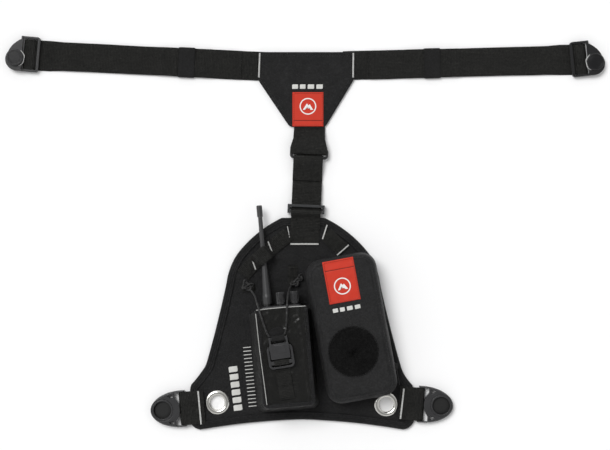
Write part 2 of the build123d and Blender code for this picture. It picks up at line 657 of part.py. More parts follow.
# ---------------------------------------------------------------- zipped pouch
def pouch_ring(outset, thickness, low, high, open_foot):
    """A band round the pouch's side wall, left open along the foot if asked."""
    outer = RectangleRounded(POUCH_WIDTH + 2 * outset, POUCH_LENGTH + 2 * outset, POUCH_CORNER + outset)
    inset = outset - thickness
    inner = RectangleRounded(POUCH_WIDTH + 2 * inset, POUCH_LENGTH + 2 * inset, POUCH_CORNER + inset)
    band = prism(outer - inner, low, high)
    if open_foot:
        band -= block(-27, 27, -POUCH_LENGTH / 2 - 5, -POUCH_LENGTH / 2 + 10, low - 1, high + 1)
    return band


def pouch():
    """Zipped pouch: padded back, padded lid hinged at the foot, zip, tag and loop patch."""
    place = POUCH_FRAME
    outer = RectangleRounded(POUCH_WIDTH, POUCH_LENGTH, POUCH_CORNER)
    footprint = RectangleRounded(
        POUCH_WIDTH - 2 * POUCH_FOOT_INSET, POUCH_LENGTH - 2 * POUCH_FOOT_INSET,
        POUCH_CORNER - POUCH_FOOT_INSET)
    back = loft([Pos(0, 0, POUCH_BACK) * footprint, Pos(0, 0, ZIP_LOW) * outer])
    cavity = RectangleRounded(
        POUCH_WIDTH - 2 * POUCH_FOOT_INSET - 2 * POUCH_WALL,
        POUCH_LENGTH - 2 * POUCH_FOOT_INSET - 2 * POUCH_WALL,
        POUCH_CORNER - POUCH_FOOT_INSET - POUCH_WALL,
    )
    back -= prism(cavity, POUCH_BACK + POUCH_WALL, ZIP_LOW + 1)
    save("pouch_base", place * back)

    crest = RectangleRounded(
        POUCH_WIDTH - 2 * POUCH_FACE_INSET, POUCH_LENGTH - 2 * POUCH_FACE_INSET,
        POUCH_CORNER - POUCH_FACE_INSET)
    lid = loft([Pos(0, 0, ZIP_HIGH) * outer, Pos(0, 0, POUCH_TOP) * crest])
    hollow = RectangleRounded(
        POUCH_WIDTH - 2 * POUCH_FACE_INSET - 2 * POUCH_WALL,
        POUCH_LENGTH - 2 * POUCH_FACE_INSET - 2 * POUCH_WALL,
        POUCH_CORNER - POUCH_FACE_INSET - POUCH_WALL,
    )
    lid -= prism(hollow, ZIP_HIGH - 1, POUCH_TOP - 3.0)
    save("pouch_lid", place * lid)

    # each half of the zip: a woven tape with its coil along the free edge
    tape = pouch_ring(-0.5, 1.2, ZIP_LOW, 20.85, True)
    coil = pouch_ring(-0.1, 1.9, 20.8, 21.4, True)
    save("zip_half_base", place * (tape + coil))
    tape = pouch_ring(-0.5, 1.2, 22.15, ZIP_HIGH, True)
    coil = pouch_ring(-0.1, 1.9, 21.6, 22.2, True)
    save("zip_half_lid", place * (tape + coil))
    foot = -POUCH_LENGTH / 2
    hinge_strip = block(-26.5, 26.5, foot + 0.3, foot + 1.5, ZIP_LOW + 0.05, ZIP_HIGH - 0.05)
    save("pouch_hinge", place * hinge_strip)

    # slider on the straight right side; its bail leaves room for the pull's end bar
    wall = POUCH_WIDTH / 2
    bail = SLIDER_Y + 3.5
    slider = block(wall + 0.35, wall + 1.75, SLIDER_Y - 5.5, SLIDER_Y + 5.5, 18.6, 24.4)
    slider = fillet(slider.edges().filter_by(Axis.X), 2.0)
    slider += block(wall + 1.7, wall + 3.7, bail - 7.0, bail - 5.6, 20.4, 22.6)
    slider += block(wall + 1.7, wall + 3.7, bail - 1.4, bail, 20.4, 22.6)
    slider += block(wall + 3.6, wall + 4.8, bail - 7.0, bail, 20.4, 22.6)
    save("zip_slider", place * slider)
    pull = block(wall + 2.25, wall + 3.05, SLIDER_Y - 25.0, SLIDER_Y + 0.7, 18.9, 24.1)
    pull = fillet(pull.edges().filter_by(Axis.X), 1.2)
    pull -= block(wall, wall + 6, SLIDER_Y - 5.0, SLIDER_Y - 0.7, 20.0, 23.0)
    save("zip_pull", place * pull)

    tag = Pos(-1.5, 62.6, 0) * prism(RectangleRounded(42.5, 57.5, 1), POUCH_TOP + 0.02, POUCH_TOP + 0.8)
    save("pouch_tag", place * tag)
    patch = Pos(-3.3, -30.7, 0) * prism(Circle(34), POUCH_TOP + 0.02, POUCH_TOP + 1.4)
    save("loop_patch", place * patch)


def main():
    os.makedirs("parts", exist_ok=True)
    chest_panel()
    panel_webbing()
    corner_group("left", LEFT_CORNER_FRAME)
    corner_group("right", RIGHT_CORNER_FRAME)
    yoke()
    shoulder_side("left", LEFT_STRAP_FRAME, LEFT_BUCKLE_FRAME)
    shoulder_side("right", RIGHT_STRAP_FRAME, RIGHT_BUCKLE_FRAME)
    center_strap()
    radio()
    pocket()
    hold_down()
    cords()
    pouch()


main()
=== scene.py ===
import json
import math

import bpy
import numpy as np
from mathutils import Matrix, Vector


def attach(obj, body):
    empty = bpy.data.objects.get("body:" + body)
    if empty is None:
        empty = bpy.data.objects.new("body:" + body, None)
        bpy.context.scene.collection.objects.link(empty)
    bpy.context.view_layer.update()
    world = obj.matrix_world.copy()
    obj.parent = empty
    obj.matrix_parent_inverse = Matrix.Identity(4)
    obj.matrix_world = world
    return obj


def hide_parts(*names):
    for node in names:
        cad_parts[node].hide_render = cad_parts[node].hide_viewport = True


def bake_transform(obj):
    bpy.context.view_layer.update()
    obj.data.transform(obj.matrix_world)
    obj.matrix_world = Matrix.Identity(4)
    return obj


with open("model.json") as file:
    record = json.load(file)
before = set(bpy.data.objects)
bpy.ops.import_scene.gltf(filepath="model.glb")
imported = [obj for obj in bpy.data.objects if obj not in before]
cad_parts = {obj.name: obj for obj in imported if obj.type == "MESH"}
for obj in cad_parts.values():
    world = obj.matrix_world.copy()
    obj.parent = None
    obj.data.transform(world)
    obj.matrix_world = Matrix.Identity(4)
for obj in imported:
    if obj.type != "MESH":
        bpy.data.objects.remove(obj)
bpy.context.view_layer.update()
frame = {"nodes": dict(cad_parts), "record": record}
MM = 0.001


# ---------------------------------------------------------------- plans and frames, in millimetres
class Frame:
    """A tilted group's own frame: its origin in the plan and its turn in degrees."""

    def __init__(self, x, y, degrees, mirror=1):
        self.origin = np.array([x, y, 0.0])
        turn = math.radians(degrees)
        self.across = np.array([math.cos(turn), math.sin(turn), 0.0])
        self.up = np.array([-math.sin(turn), math.cos(turn), 0.0]) * mirror

    def out(self, points):
        points = np.asarray(points, float)
        flat = points[..., 0:1] * self.across + points[..., 1:2] * self.up + self.origin
        return flat + points[..., 2:3] * np.array([0.0, 0.0, 1.0])


WORLD = Frame(0, 0, 0)
RADIO = Frame(-31.6, -95.2, 5)
POUCH = Frame(62.7, -126.2, 10.5)
HOLD = Frame(-32.2, -160.5, 9)
CENTER = Frame(-0.3, -13.6, -2.5)
BUCKLE_TURN = {"left": 175.0, "right": 6.0}
STRAPS = {"left": Frame(-50.0, 227.4, 177.2), "right": Frame(52.0, 228.6, 1.5)}
CORNERS = {"left": Frame(-164.7, -236.6, 184.5), "right": Frame(156.8, -230.7, -4)}
BUCKLES = {"left": Frame(-372.6, 243.9, 175), "right": Frame(373.7, 237.5, 6)}
STUD_X, STUD_Y = 19.5, {"left": 6.5, "right": -6.5}
BUCKLE_AT = {"left": 323.0, "right": 321.8}
RECESS_X = 28.2
KEEPER_AT = {"left": 110.5, "right": 121.0}
GROMMETS = [(-118.6, -228.5), (110.6, -231.2)]
SHOULDER_WIDTH = 38.0
CENTER_WIDTH = 40.0


def unit(vectors):
    """The same vectors, each made one long."""
    return vectors / np.maximum(np.linalg.norm(vectors, axis=-1, keepdims=True), 1e-9)


def distances(points):
    """How far along a line each of its points lies."""
    return np.concatenate([[0], np.cumsum(np.linalg.norm(np.diff(points, axis=0), axis=1))])


def spots(points, at, want):
    """Where the wanted distances fall on a line whose points lie at the distances at."""
    return np.column_stack([np.interp(want, at, column) for column in points.T])


def directions(line, closed=False):
    """Which way a line runs at each of its points."""
    if closed:
        return unit(np.roll(line, -1, 0) - np.roll(line, 1, 0))
    return unit(np.gradient(line, axis=0))


def right_of(line):
    """The way to the right of an open line in the plan."""
    ahead = directions(line)
    return np.column_stack([ahead[:, 1], -ahead[:, 0]])


def inward_of(outline):
    """The way into a closed outline in the plan."""
    ahead = directions(outline, True)
    x, y = outline.T
    area = np.sum(x * np.roll(y, -1) - np.roll(x, -1) * y)
    return np.column_stack([-ahead[:, 1], ahead[:, 0]]) * (1 if area > 0 else -1)


def at_height(plan, z):
    """Plan points, all at one height."""
    return np.column_stack([plan, np.full(len(plan), z)])


def uv_grid(columns, rows):
    return np.stack(np.meshgrid(columns, rows), -1)


def arc(a, b, c, count=24):
    """Points on the circle through three points, from a to c."""
    (ax, ay), (bx, by), (cx, cy) = a, b, c
    d = 2 * (ax * (by - cy) + bx * (cy - ay) + cx * (ay - by))
    sa, sb, sc = ax * ax + ay * ay, bx * bx + by * by, cx * cx + cy * cy
    x = (sa * (by - cy) + sb * (cy - ay) + sc * (ay - by)) / d
    y = (sa * (cx - bx) + sb * (ax - cx) + sc * (bx - ax)) / d
    start, middle, end = (math.atan2(q - y, p - x) for p, q in (a, b, c))
    turn = (end - start) % (2 * math.pi)
    if (middle - start) % (2 * math.pi) > turn:
        turn -= 2 * math.pi
    angles = start + turn * np.linspace(0, 1, count)
    radius = math.hypot(ax - x, ay - y)
    return np.column_stack([x + radius * np.cos(angles), y + radius * np.sin(angles)])


def resample(points, step, closed=False):
    """The same line with evenly spaced points."""
    points = np.asarray(points, float)
    if closed:
        points = np.vstack([points, points[:1]])
    at = distances(points)
    count = max(int(round(at[-1] / step)), 6)
    want = np.linspace(0, at[-1], count + 1)
    if closed:
        want = want[:-1]
    return spots(points, at, want)


def soften(points, spread, closed=False):
    """Rounds a line's corners with a bell-shaped average, keeping an open line's ends."""
    reach = min(int(3 * spread) + 1, len(points) - 1)
    bell = np.exp(-0.5 * (np.arange(-reach, reach + 1) / spread) ** 2)
    bell /= bell.sum()
    if closed:
        longer = np.vstack([points[-reach:], points, points[:reach]])
    else:
        longer = np.vstack([
            2 * points[0] - points[reach:0:-1], points, 2 * points[-1] - points[-2:-reach - 2:-1]])
    return np.column_stack([np.convolve(column, bell, "valid") for column in longer.T])


def ripple(x, y, size, seed):
    """Smooth unevenness between about -1 and 1, with bumps about as large as size."""
    dice = np.random.default_rng(int(seed))
    total = 0.0
    for _ in range(7):
        angle = dice.uniform(0, 2 * math.pi)
        pitch = size * dice.uniform(0.7, 1.6)
        phase = dice.uniform(0, 2 * math.pi)
        total = total + np.sin(2 * math.pi * (x * math.cos(angle) + y * math.sin(angle)) / pitch + phase)
    return total / 4.0


# ---------------------------------------------------------------- gathering shapes into one mesh
class Heap:
    """Several grids of points gathered into one mesh, in millimetres."""

    def __init__(self):
        self.points = []
        self.uvs = []
        self.faces = []
        self.count = 0

    def put(self, rings, uv=None, around=True, along=False, caps=False, drop=None):
        """A grid of points: rows of a ring each. drop marks the points whose faces are left out."""
        rings = np.asarray(rings, float)
        rows, columns = rings.shape[:2]
        index = np.arange(rows * columns).reshape(rows, columns)
        grid = np.vstack([index, index[:1]]) if along else index
        grid = np.hstack([grid, grid[:, :1]]) if around else grid
        quads = np.stack([grid[:-1, :-1], grid[:-1, 1:], grid[1:, 1:], grid[1:, :-1]], -1).reshape(-1, 4)
        if drop is not None:
            quads = quads[~drop.reshape(-1)[quads].any(axis=1)]
        faces = (quads + self.count).tolist()
        if caps:
            faces.append((index[0][::-1] + self.count).tolist())
            faces.append((index[-1] + self.count).tolist())
        if uv is None:
            uv = uv_grid(np.arange(columns), np.arange(rows))
        self.points.append(rings.reshape(-1, 3))
        self.uvs.append(np.asarray(uv, float).reshape(-1, 2))
        self.faces += faces
        self.count += rows * columns

    def piece(self, name, material, slot, body, stands_for=(), sharp=45):
        """Makes the mesh object, riding on a body and standing for CAD nodes."""
        points = np.vstack(self.points) * MM
        uvs = np.vstack(self.uvs)
        mesh = bpy.data.meshes.new(name)
        mesh.from_pydata(points.tolist(), [], self.faces)
        corner = np.zeros(len(mesh.loops), np.int32)
        mesh.loops.foreach_get("vertex_index", corner)
        layer = mesh.uv_layers.new(name="UVMap")
        layer.data.foreach_set("uv", uvs[corner].astype(np.float32).ravel())
        mesh.polygons.foreach_set("use_smooth", [True] * len(mesh.polygons))
        mesh.set_sharp_from_angle(angle=math.radians(sharp))
        mesh.materials.append(material)
        mesh.update()
        piece = bpy.data.objects.new(name, mesh)
        bpy.context.scene.collection.objects.link(piece)
        if body:
            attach(piece, body)
        if stands_for:
            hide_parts(*stands_for)
        return piece


def tube(heap, line, radius, sides=8, weave=0.0, closed=False):
    """A round thread or cord along a line; weave raises a braid on it."""
    line = np.asarray(line, float)
    tangent = directions(line, closed)
    guide = np.array([0.0, 0.0, 1.0]) if abs(tangent[0][2]) < 0.9 else np.array([1.0, 0.0, 0.0])
    first = [unit(np.cross(tangent[0], guide))]
    for t in tangent[1:]:
        first.append(unit(first[-1] - t * np.dot(first[-1], t)))
    first = np.array(first)
    second = np.cross(tangent, first)
    at = distances(line)
    angles = np.linspace(0, 2 * math.pi, sides, endpoint=False)
    reach = np.broadcast_to(np.asarray(radius, float).reshape(-1, 1), (len(line), 1)) * np.ones((1, sides))
    if weave:
        one = np.cos(3 * angles[None, :] + 2 * math.pi * at[:, None] / 4.2)
        other = np.cos(3 * angles[None, :] - 2 * math.pi * at[:, None] / 4.2)
        reach = reach + weave * np.maximum(one, other)
    rings = (line[:, None, :] + reach[..., None] * (
        first[:, None, :] * np.cos(angles)[None, :, None] + second[:, None, :] * np.sin(angles)[None, :, None]))
    uv = np.stack(np.broadcast_arrays(at[:, None], angles[None, :]), -1)
    heap.put(rings, uv, along=closed, caps=not closed)


def webbing(heap, path, width, thick, side=None, rib=2.1, depth=0.24, seed=1, soft=3.0, step=0.45,
            closed=False, lift=0.18):
    """Woven webbing along a path of its middle line, with cross ribs and rounded edges.
    width is a number, or a list of (share of the length, width) pairs."""
    line = soften(resample(path, step, closed), soft, closed)
    tangent = directions(line, closed)
    at = distances(line)
    if side is None:
        side = unit(np.cross(np.array([0.0, 0.0, 1.0]), tangent))
    elif callable(side):
        side = side(line)
    else:
        side = np.broadcast_to(np.asarray(side, float), tangent.shape)
    normal = unit(np.cross(tangent, side))
    if np.ndim(width) == 0:
        wide = np.full(len(line), float(width))
    else:
        share, value = zip(*width)
        wide = np.interp(at / at[-1], share, value)
    count = max(int(wide.max() / 2.2), 8)
    across = np.concatenate([np.linspace(-0.5, 0.5, count + 1), np.linspace(0.5, -0.5, count + 1)[1:-1]])
    face = np.concatenate([np.ones(count + 1), -np.ones(count - 1)])
    body = np.sqrt(np.clip(1 - np.abs(2 * across) ** 10, 0, 1))
    sway = ripple(at, at * 0, 90, seed) * 0.25
    lateral = across[None, :] * wide[:, None] + sway[:, None]
    ribs = 0.5 + 0.5 * np.cos(2 * math.pi * (at[:, None] + 0.25 * np.sin(lateral * 2.4)) / rib)
    half = (thick / 2 - depth / 2 + depth * ribs) * body[None, :]
    sag = lift * ripple(at[:, None], lateral, 38, seed + 5)
    swell = 0.14 * ripple(at[:, None], lateral * 0.25, 6, seed + 9) * min(1.0, lift / 0.1)
    height = half * face[None, :] + sag + swell
    rings = line[:, None, :] + side[:, None, :] * lateral[..., None] + normal[:, None, :] * height[..., None]
    uv = np.stack(np.broadcast_arrays(at[:, None], lateral), -1)
    heap.put(rings, uv, along=closed, caps=not closed)


def stitches(heap, line, up=(0, 0, 1), pitch=3.4, length=2.5, radius=0.24, rise=0.22, closed=False):
    """A row of single stitches lying on a line."""
    line = resample(line, pitch, closed)
    ahead = unit(np.roll(line, -1, 0) - line) if closed else unit(np.gradient(line, axis=0))
    up = np.asarray(up, float)
    shares = np.array([-0.5, -0.3, 0.0, 0.3, 0.5])
    heights = np.array([-0.4, 0.6, 1.0, 0.6, -0.4])
    thick = np.array([0.7, 1.0, 1.0, 1.0, 0.7])
    for point, way in zip(line, ahead):
        run = point + way * (shares * length)[:, None] + up * (heights * rise)[:, None]
        tube(heap, run, radius * thick, 5)


def bartack(heap, a, b, width=2.4, pitch=0.85, radius=0.26):
    """Dense zigzag thread between two points."""
    a, b = np.asarray(a, float), np.asarray(b, float)
    run = b - a
    count = int(np.linalg.norm(run) / pitch)
    way = run / np.linalg.norm(run)
    side = unit(np.cross(np.array([0.0, 0.0, 1.0]), way))
    share = np.linspace(0, 1, 2 * count + 1)
    swing = np.where(np.arange(2 * count + 1) % 2, 0.5, -0.5)
    corner = a + run * share[:, None] + side * (swing * width)[:, None]
    tube(heap, corner, radius, 5)
    core = resample([a, b], 2.0)
    flat = np.linspace(0, 2 * math.pi, 8, endpoint=False)
    rings = core[:, None, :] + side * (np.cos(flat) * width * 0.42)[None, :, None] + (
        np.array([0.0, 0.0, 1.0]) * (np.sin(flat) * radius * 0.6)[None, :, None])
    heap.put(rings, caps=True)


# ---------------------------------------------------------------- materials
def new_material(name):
    material = bpy.data.materials.new(name)
    material.use_nodes = True
    tree = material.node_tree
    return material, tree, tree.nodes["Principled BSDF"]


def maths(tree, kind, a, b=None):
    node = tree.nodes.new("ShaderNodeMath")
    node.operation = kind
    for socket, value in zip(node.inputs, (a, b)):
        if value is None:
            continue
        if isinstance(value, (int, float)):
            socket.default_value = value
        else:
            tree.links.new(value, socket)
    return node.outputs[0]


def mix_colour(tree, share, dark, light):
    node = tree.nodes.new("ShaderNodeMix")
    node.data_type = "RGBA"
    tree.links.new(share, node.inputs["Factor"])
    for name, value in (("A", dark), ("B", light)):
        socket = next(s for s in node.inputs if s.name == name and s.type == "RGBA")
        if isinstance(value, tuple):
            socket.default_value = (*value, 1)
        else:
            tree.links.new(value, socket)
    return next(s for s in node.outputs if s.type == "RGBA")


def noise(tree, size_mm, detail=3.0, vector=None, rough=0.6):
    """Noise whose grain is about size_mm, in object space."""
    node = tree.nodes.new("ShaderNodeTexNoise")
    node.inputs["Scale"].default_value = 1000.0 / size_mm if vector is None else 1.0 / size_mm
    node.inputs["Detail"].default_value = detail
    node.inputs["Roughness"].default_value = rough
    if vector is None:
        vector = tree.nodes.new("ShaderNodeTexCoord").outputs["Object"]
    tree.links.new(vector, node.inputs["Vector"])
    return node.outputs["Fac"]


def bump(tree, shader, height, strength, distance_mm, after=None):
    node = tree.nodes.new("ShaderNodeBump")
    node.inputs["Strength"].default_value = strength
    node.inputs["Distance"].default_value = distance_mm * MM
    tree.links.new(height, node.inputs["Height"])
    if after is not None:
        tree.links.new(after, node.inputs["Normal"])
    tree.links.new(node.outputs[0], shader.inputs["Normal"])
    return node.outputs[0]


def woven(name, dark, light, pitch_u, pitch_v, rough=0.6, sheen=0.02, relief=0.3, strength=0.8, shift=0.5,
          level=0.22):
    """Cloth with a plain or ribbed weave, drawn along the piece's own millimetre coordinates."""
    material, tree, shader = new_material(name)
    uv = tree.nodes.new("ShaderNodeUVMap")
    uv.uv_map = "UVMap"
    split = tree.nodes.new("ShaderNodeSeparateXYZ")
    tree.links.new(uv.outputs[0], split.inputs[0])
    wobble = maths(tree, "MULTIPLY", noise(tree, 3.0, 2.0), 0.5)
    u = maths(tree, "DIVIDE", maths(tree, "ADD", split.outputs[0], wobble), pitch_u)
    v = maths(tree, "DIVIDE", maths(tree, "ADD", split.outputs[1], wobble), pitch_v)
    row = maths(tree, "MULTIPLY", maths(tree, "FLOOR", v), shift)
    turned = maths(tree, "MULTIPLY", maths(tree, "ADD", u, row), math.pi)
    warp = maths(tree, "ABSOLUTE", maths(tree, "SINE", turned))
    weft = maths(tree, "ABSOLUTE", maths(tree, "SINE", maths(tree, "MULTIPLY", v, math.pi)))
    height = maths(tree, "POWER", maths(tree, "MULTIPLY", warp, weft), 0.6)
    wear = maths(tree, "MULTIPLY", maths(tree, "SUBTRACT", noise(tree, 16.0, 3.0), 0.40), 2.2)
    fleck = maths(tree, "MULTIPLY", maths(tree, "SUBTRACT", noise(tree, 2.6, 3.0, rough=0.75), 0.36), 2.8)
    grain = noise(tree, 0.8, 2.0)
    worn = maths(tree, "ADD", maths(tree, "MULTIPLY", wear, 0.45), maths(tree, "MULTIPLY", fleck, 0.75))
    share = maths(tree, "MULTIPLY", maths(tree, "ADD", worn, maths(tree, "MULTIPLY", grain, 0.2)), height)
    share = maths(tree, "MULTIPLY", share, maths(tree, "ADD", 0.55, maths(tree, "MULTIPLY", fleck, 0.55)))
    tree.links.new(mix_colour(tree, share, dark, light), shader.inputs["Base Color"])
    shader.inputs["Roughness"].default_value = rough
    shader.inputs["Sheen Weight"].default_value = sheen
    shader.inputs["Sheen Roughness"].default_value = 0.5
    shader.inputs["Specular IOR Level"].default_value = level
    both = maths(tree, "ADD", height, maths(tree, "ADD", maths(tree, "MULTIPLY", grain, 0.5), fleck))
    bump(tree, shader, both, strength, relief)
    return material


def moulded(name, colour, rough=0.42, grain=0.35, strength=0.25, edge=0.5, level=0.5, worn=1.7):
    """Plastic, rubber or lacquer with rounded edges and a fine grain."""
    material, tree, shader = new_material(name)
    worn_share = noise(tree, 9.0, 5.0)
    light = tuple(min(c * worn + 0.002, 1.0) for c in colour)
    tree.links.new(mix_colour(tree, worn_share, colour, light), shader.inputs["Base Color"])
    shader.inputs["Roughness"].default_value = rough
    shader.inputs["Specular IOR Level"].default_value = level
    rounded = tree.nodes.new("ShaderNodeBevel")
    rounded.samples = 4
    rounded.inputs["Radius"].default_value = edge * MM
    bump(tree, shader, noise(tree, grain, 3.0), strength, 0.08, rounded.outputs[0])
    return material


def metal(name, colour, rough):
    material, tree, shader = new_material(name)
    tree.links.new(
        mix_colour(tree, noise(tree, 4.0, 5.0), colour, tuple(c * 0.8 for c in colour)), shader.inputs["Base Color"])
    shader.inputs["Metallic"].default_value = 1.0
    shader.inputs["Roughness"].default_value = rough
    bump(tree, shader, noise(tree, 1.5, 4.0), 0.12, 0.05)
    return material


def clear_film(name):
    """Glossy smoke-tinted film: what is under it shows faintly."""
    material, tree, shader = new_material(name)
    shader.inputs["Base Color"].default_value = (0.02, 0.02, 0.019, 1)
    shader.inputs["Roughness"].default_value = 0.2
    shader.inputs["Specular IOR Level"].default_value = 0.6
    bump(tree, shader, noise(tree, 13.0, 1.0), 0.7, 2.2)
    seen = tree.nodes.new("ShaderNodeBsdfTransparent")
    seen.inputs["Color"].default_value = (0.62, 0.62, 0.6, 1)
    mixed = tree.nodes.new("ShaderNodeMixShader")
    mixed.inputs[0].default_value = 0.42
    tree.links.new(seen.outputs[0], mixed.inputs[1])
    tree.links.new(shader.outputs[0], mixed.inputs[2])
    tree.links.new(mixed.outputs[0], tree.nodes["Material Output"].inputs["Surface"])
    return material


PACK_CLOTH = woven("pack_cloth", (0.001, 0.001, 0.0012), (0.024, 0.024, 0.025), 1.9, 1.5, 0.50, relief=0.45)
POUCH_CLOTH = woven("pouch_cloth", (0.002, 0.002, 0.0022), (0.028, 0.028, 0.029), 1.6, 1.3, 0.50, relief=0.35,
                    level=0.25)
POCKET_CLOTH = woven("pocket_cloth", (0.002, 0.002, 0.002), (0.022, 0.022, 0.021), 1.5, 1.2, 0.34, level=0.5)
BACK_MESH = woven("lining_mesh", (0.002, 0.002, 0.002), (0.020, 0.020, 0.021), 3.0, 2.4, 0.8, 0.05, 0.7, 1.0)
TAPE = woven("binding_tape", (0.001, 0.001, 0.0012), (0.022, 0.022, 0.023), 1.6, 2.8, 0.55, 0.02, 0.5, 1.0, 0.0)
WEBBING = woven("webbing", (0.0015, 0.0015, 0.001), (0.024, 0.024, 0.021), 2.1, 1.8, 0.45, 0.02, 0.5, 1.0, 0.0)
ELASTIC = woven("elastic", (0.002, 0.002, 0.002), (0.016, 0.016, 0.017), 1.2, 1.0, 0.6, 0.03, 0.3, 0.9, 0.0)
CORD = woven("elastic_cord", (0.002, 0.002, 0.002), (0.12, 0.12, 0.12), 2.4, 0.7, 0.5, 0.03, 0.2)
ZIP_TAPE = woven("zip_tape", (0.002, 0.002, 0.002), (0.010, 0.010, 0.011), 0.9, 0.9, 0.7, 0.02, 0.15)
LOOP_PILE = woven("loop_fabric", (0.001, 0.001, 0.001), (0.022, 0.022, 0.022), 1.3, 1.3, 0.9, 0.04, 0.7, 1.0,
                  level=0.08)
WHITE_THREAD = woven("white_thread", (0.42, 0.42, 0.41), (0.86, 0.86, 0.84), 0.5, 0.6, 0.6, 0.1, 0.1)
BLACK_THREAD = woven("black_thread", (0.005, 0.005, 0.005), (0.07, 0.07, 0.072), 0.5, 0.6, 0.4, 0.05, 0.1)
RED_LABEL = moulded("red_label", (0.46, 0.030, 0.014), 0.5, 0.5, 0.3, 0.3, 0.2, 1.25)
WHITE_MARK = moulded("white_mark", (0.75, 0.75, 0.73), 0.5, 0.6, 0.2, 0.1, 0.4, 1.05)
PRINT = moulded("print_ink", (0.46, 0.46, 0.44), 0.6, 0.5, 0.7, 0.1, 0.3, 1.5)
# Light grey glossy finish for the beads along the pocket film's edges: painted highlight.
FILM_HIGHLIGHT_FINISH = moulded("film_highlight_finish", (0.30, 0.30, 0.29), 0.22, 3.0, 0.3, 0.1, 0.7, 1.6)
# Light grey finish for the arcs beside the shoulder studs: a painted highlight.
SEAT_HIGHLIGHT_FINISH = moulded("seat_highlight_finish", (0.60, 0.60, 0.59), 0.25, 2.0, 0.3, 0.1, 0.8, 1.3)
# Near-black finish for the discs in the corner buckles' recesses: painted shade.
RECESS_SHADE_FINISH = moulded("recess_shade_finish", (0.003, 0.003, 0.003), 0.5, 0.6, 0.4, 0.2, 0.4, 1.8)
SMOKED_FILM = clear_film("smoked_film")
ZIP_NYLON = moulded("zip_nylon", (0.006, 0.006, 0.006), 0.35, 0.6, 0.1, 0.1)

HARD = {
    "nickel": metal("nickel", (0.80, 0.79, 0.75), 0.22),
    "grey_buckle": moulded("grey_buckle", (0.016, 0.016, 0.017), 0.30, 0.5, 0.3, 0.9, 0.6, 1.9),
    "black_buckle": moulded("black_buckle", (0.004, 0.004, 0.0045), 0.28, 0.5, 0.3, 0.7, 0.6, 2.0),
    "stud_plastic": moulded("stud_plastic", (0.003, 0.003, 0.0035), 0.24, 0.8, 0.3, 0.7, 0.5, 2.0),
    "slider_plastic": moulded("slider_plastic", (0.020, 0.021, 0.022), 0.26, 0.6, 0.2, 0.9, 0.7, 1.5),
    "radio_plastic": moulded("radio_plastic", (0.008, 0.008, 0.009), 0.36, 0.5, 0.45, 0.9, 0.5, 1.6),
    "battery_plastic": moulded("battery_plastic", (0.006, 0.006, 0.007), 0.5, 0.5, 0.5, 0.6, 0.4, 1.5),
    "circuit_board": moulded("circuit_board", (0.01, 0.09, 0.03), 0.35, 2.0, 0.2, 0.2),
    "speaker_metal": metal("speaker_metal", (0.4, 0.4, 0.4), 0.4),
    "display_glass": moulded("display_glass", (0.020, 0.025, 0.023), 0.12, 4.0, 0.05, 0.4, 0.6, 1.2),
    "keypad_rubber": moulded("keypad_rubber", (0.009, 0.009, 0.010), 0.6, 0.4, 0.3, 0.6, 0.3, 1.5),
    "knob_rubber": moulded("knob_rubber", (0.012, 0.012, 0.013), 0.24, 0.4, 0.3, 0.5, 0.8, 1.6),
    "antenna_rubber": moulded("antenna_rubber", (0.022, 0.022, 0.023), 0.42, 0.4, 0.35, 0.6, 0.5, 1.4),
    "zip_metal": metal("zip_metal", (0.06, 0.06, 0.06), 0.35),
}
for row in frame["record"]["subparts"]:
    if row["material_slot"] in HARD:
        node = frame["nodes"][row["node"]]
        node.data.materials.clear()
        node.data.materials.append(HARD[row["material_slot"]])
for name, finish in (("radio_antenna_socket", HARD["zip_metal"]), ("buckle_socket", HARD["grey_buckle"]),
                     ("buckle_prong", HARD["grey_buckle"])):
    slots = frame["nodes"][name].data.materials
    slots.clear()
    slots.append(finish)


# ---------------------------------------------------------------- camera and cords
camera_data = bpy.data.cameras.new("camera")
camera_data.sensor_width = 36
camera_data.lens = 95.5
camera = bpy.data.objects.new("camera", camera_data)
camera.location = (0.0004, 0.0122, 2.2)
bpy.context.scene.collection.objects.link(camera)
bpy.context.scene.camera = camera

CORD_RADIUS, CORD_BRAID, CORD_DIAMETER = 1.2, 0.16, 0.0025
KNOTS = {
    "left": [(-76.5, -71.5, 9.2, 14.0, 0.25), (-80.5, -68.5, 8.6, 12.0, 1.3)],
    "right": [(-12.5, -66.0, 9.2, 13.0, 0.5), (-7.0, -60.0, 8.4, 11.0, 1.0)],
}
CORD_ROUTES = {
    "left": [
        (-0.0470, -0.1370, 0.0449), (-0.0510, -0.1315, 0.0470), (-0.0605, -0.1015, 0.0484), (-0.0650, -0.0880, 0.0365),
        (-0.0680, -0.0810, 0.0190), (-0.0745, -0.0745, 0.0082)],
    "right": [
        (-0.0270, -0.1340, 0.0449), (-0.0246, -0.1270, 0.0470), (-0.0236, -0.0985, 0.0484), (-0.0232, -0.0860, 0.0380),
        (-0.0220, -0.0770, 0.0210), (-0.0180, -0.0675, 0.0082)],
}


def spline_points(name, route):
    """The points along a smooth spline whose control points are the route, in millimetres."""
    data = bpy.data.curves.new(name, "CURVE")
    data.dimensions = "3D"
    data.resolution_u = 40
    spline = data.splines.new("NURBS")
    spline.points.add(len(route) - 1)
    for point, place in zip(spline.points, route):
        point.co = (*place, 1.0)
    spline.order_u = 3
    spline.use_endpoint_u = True
    holder = bpy.data.objects.new(name, data)
    bpy.context.scene.collection.objects.link(holder)
    mesh = bpy.data.meshes.new_from_object(holder)
    points = np.array([vertex.co[:] for vertex in mesh.vertices]) / MM
    bpy.data.objects.remove(holder)
    bpy.data.meshes.remove(mesh)
    return points


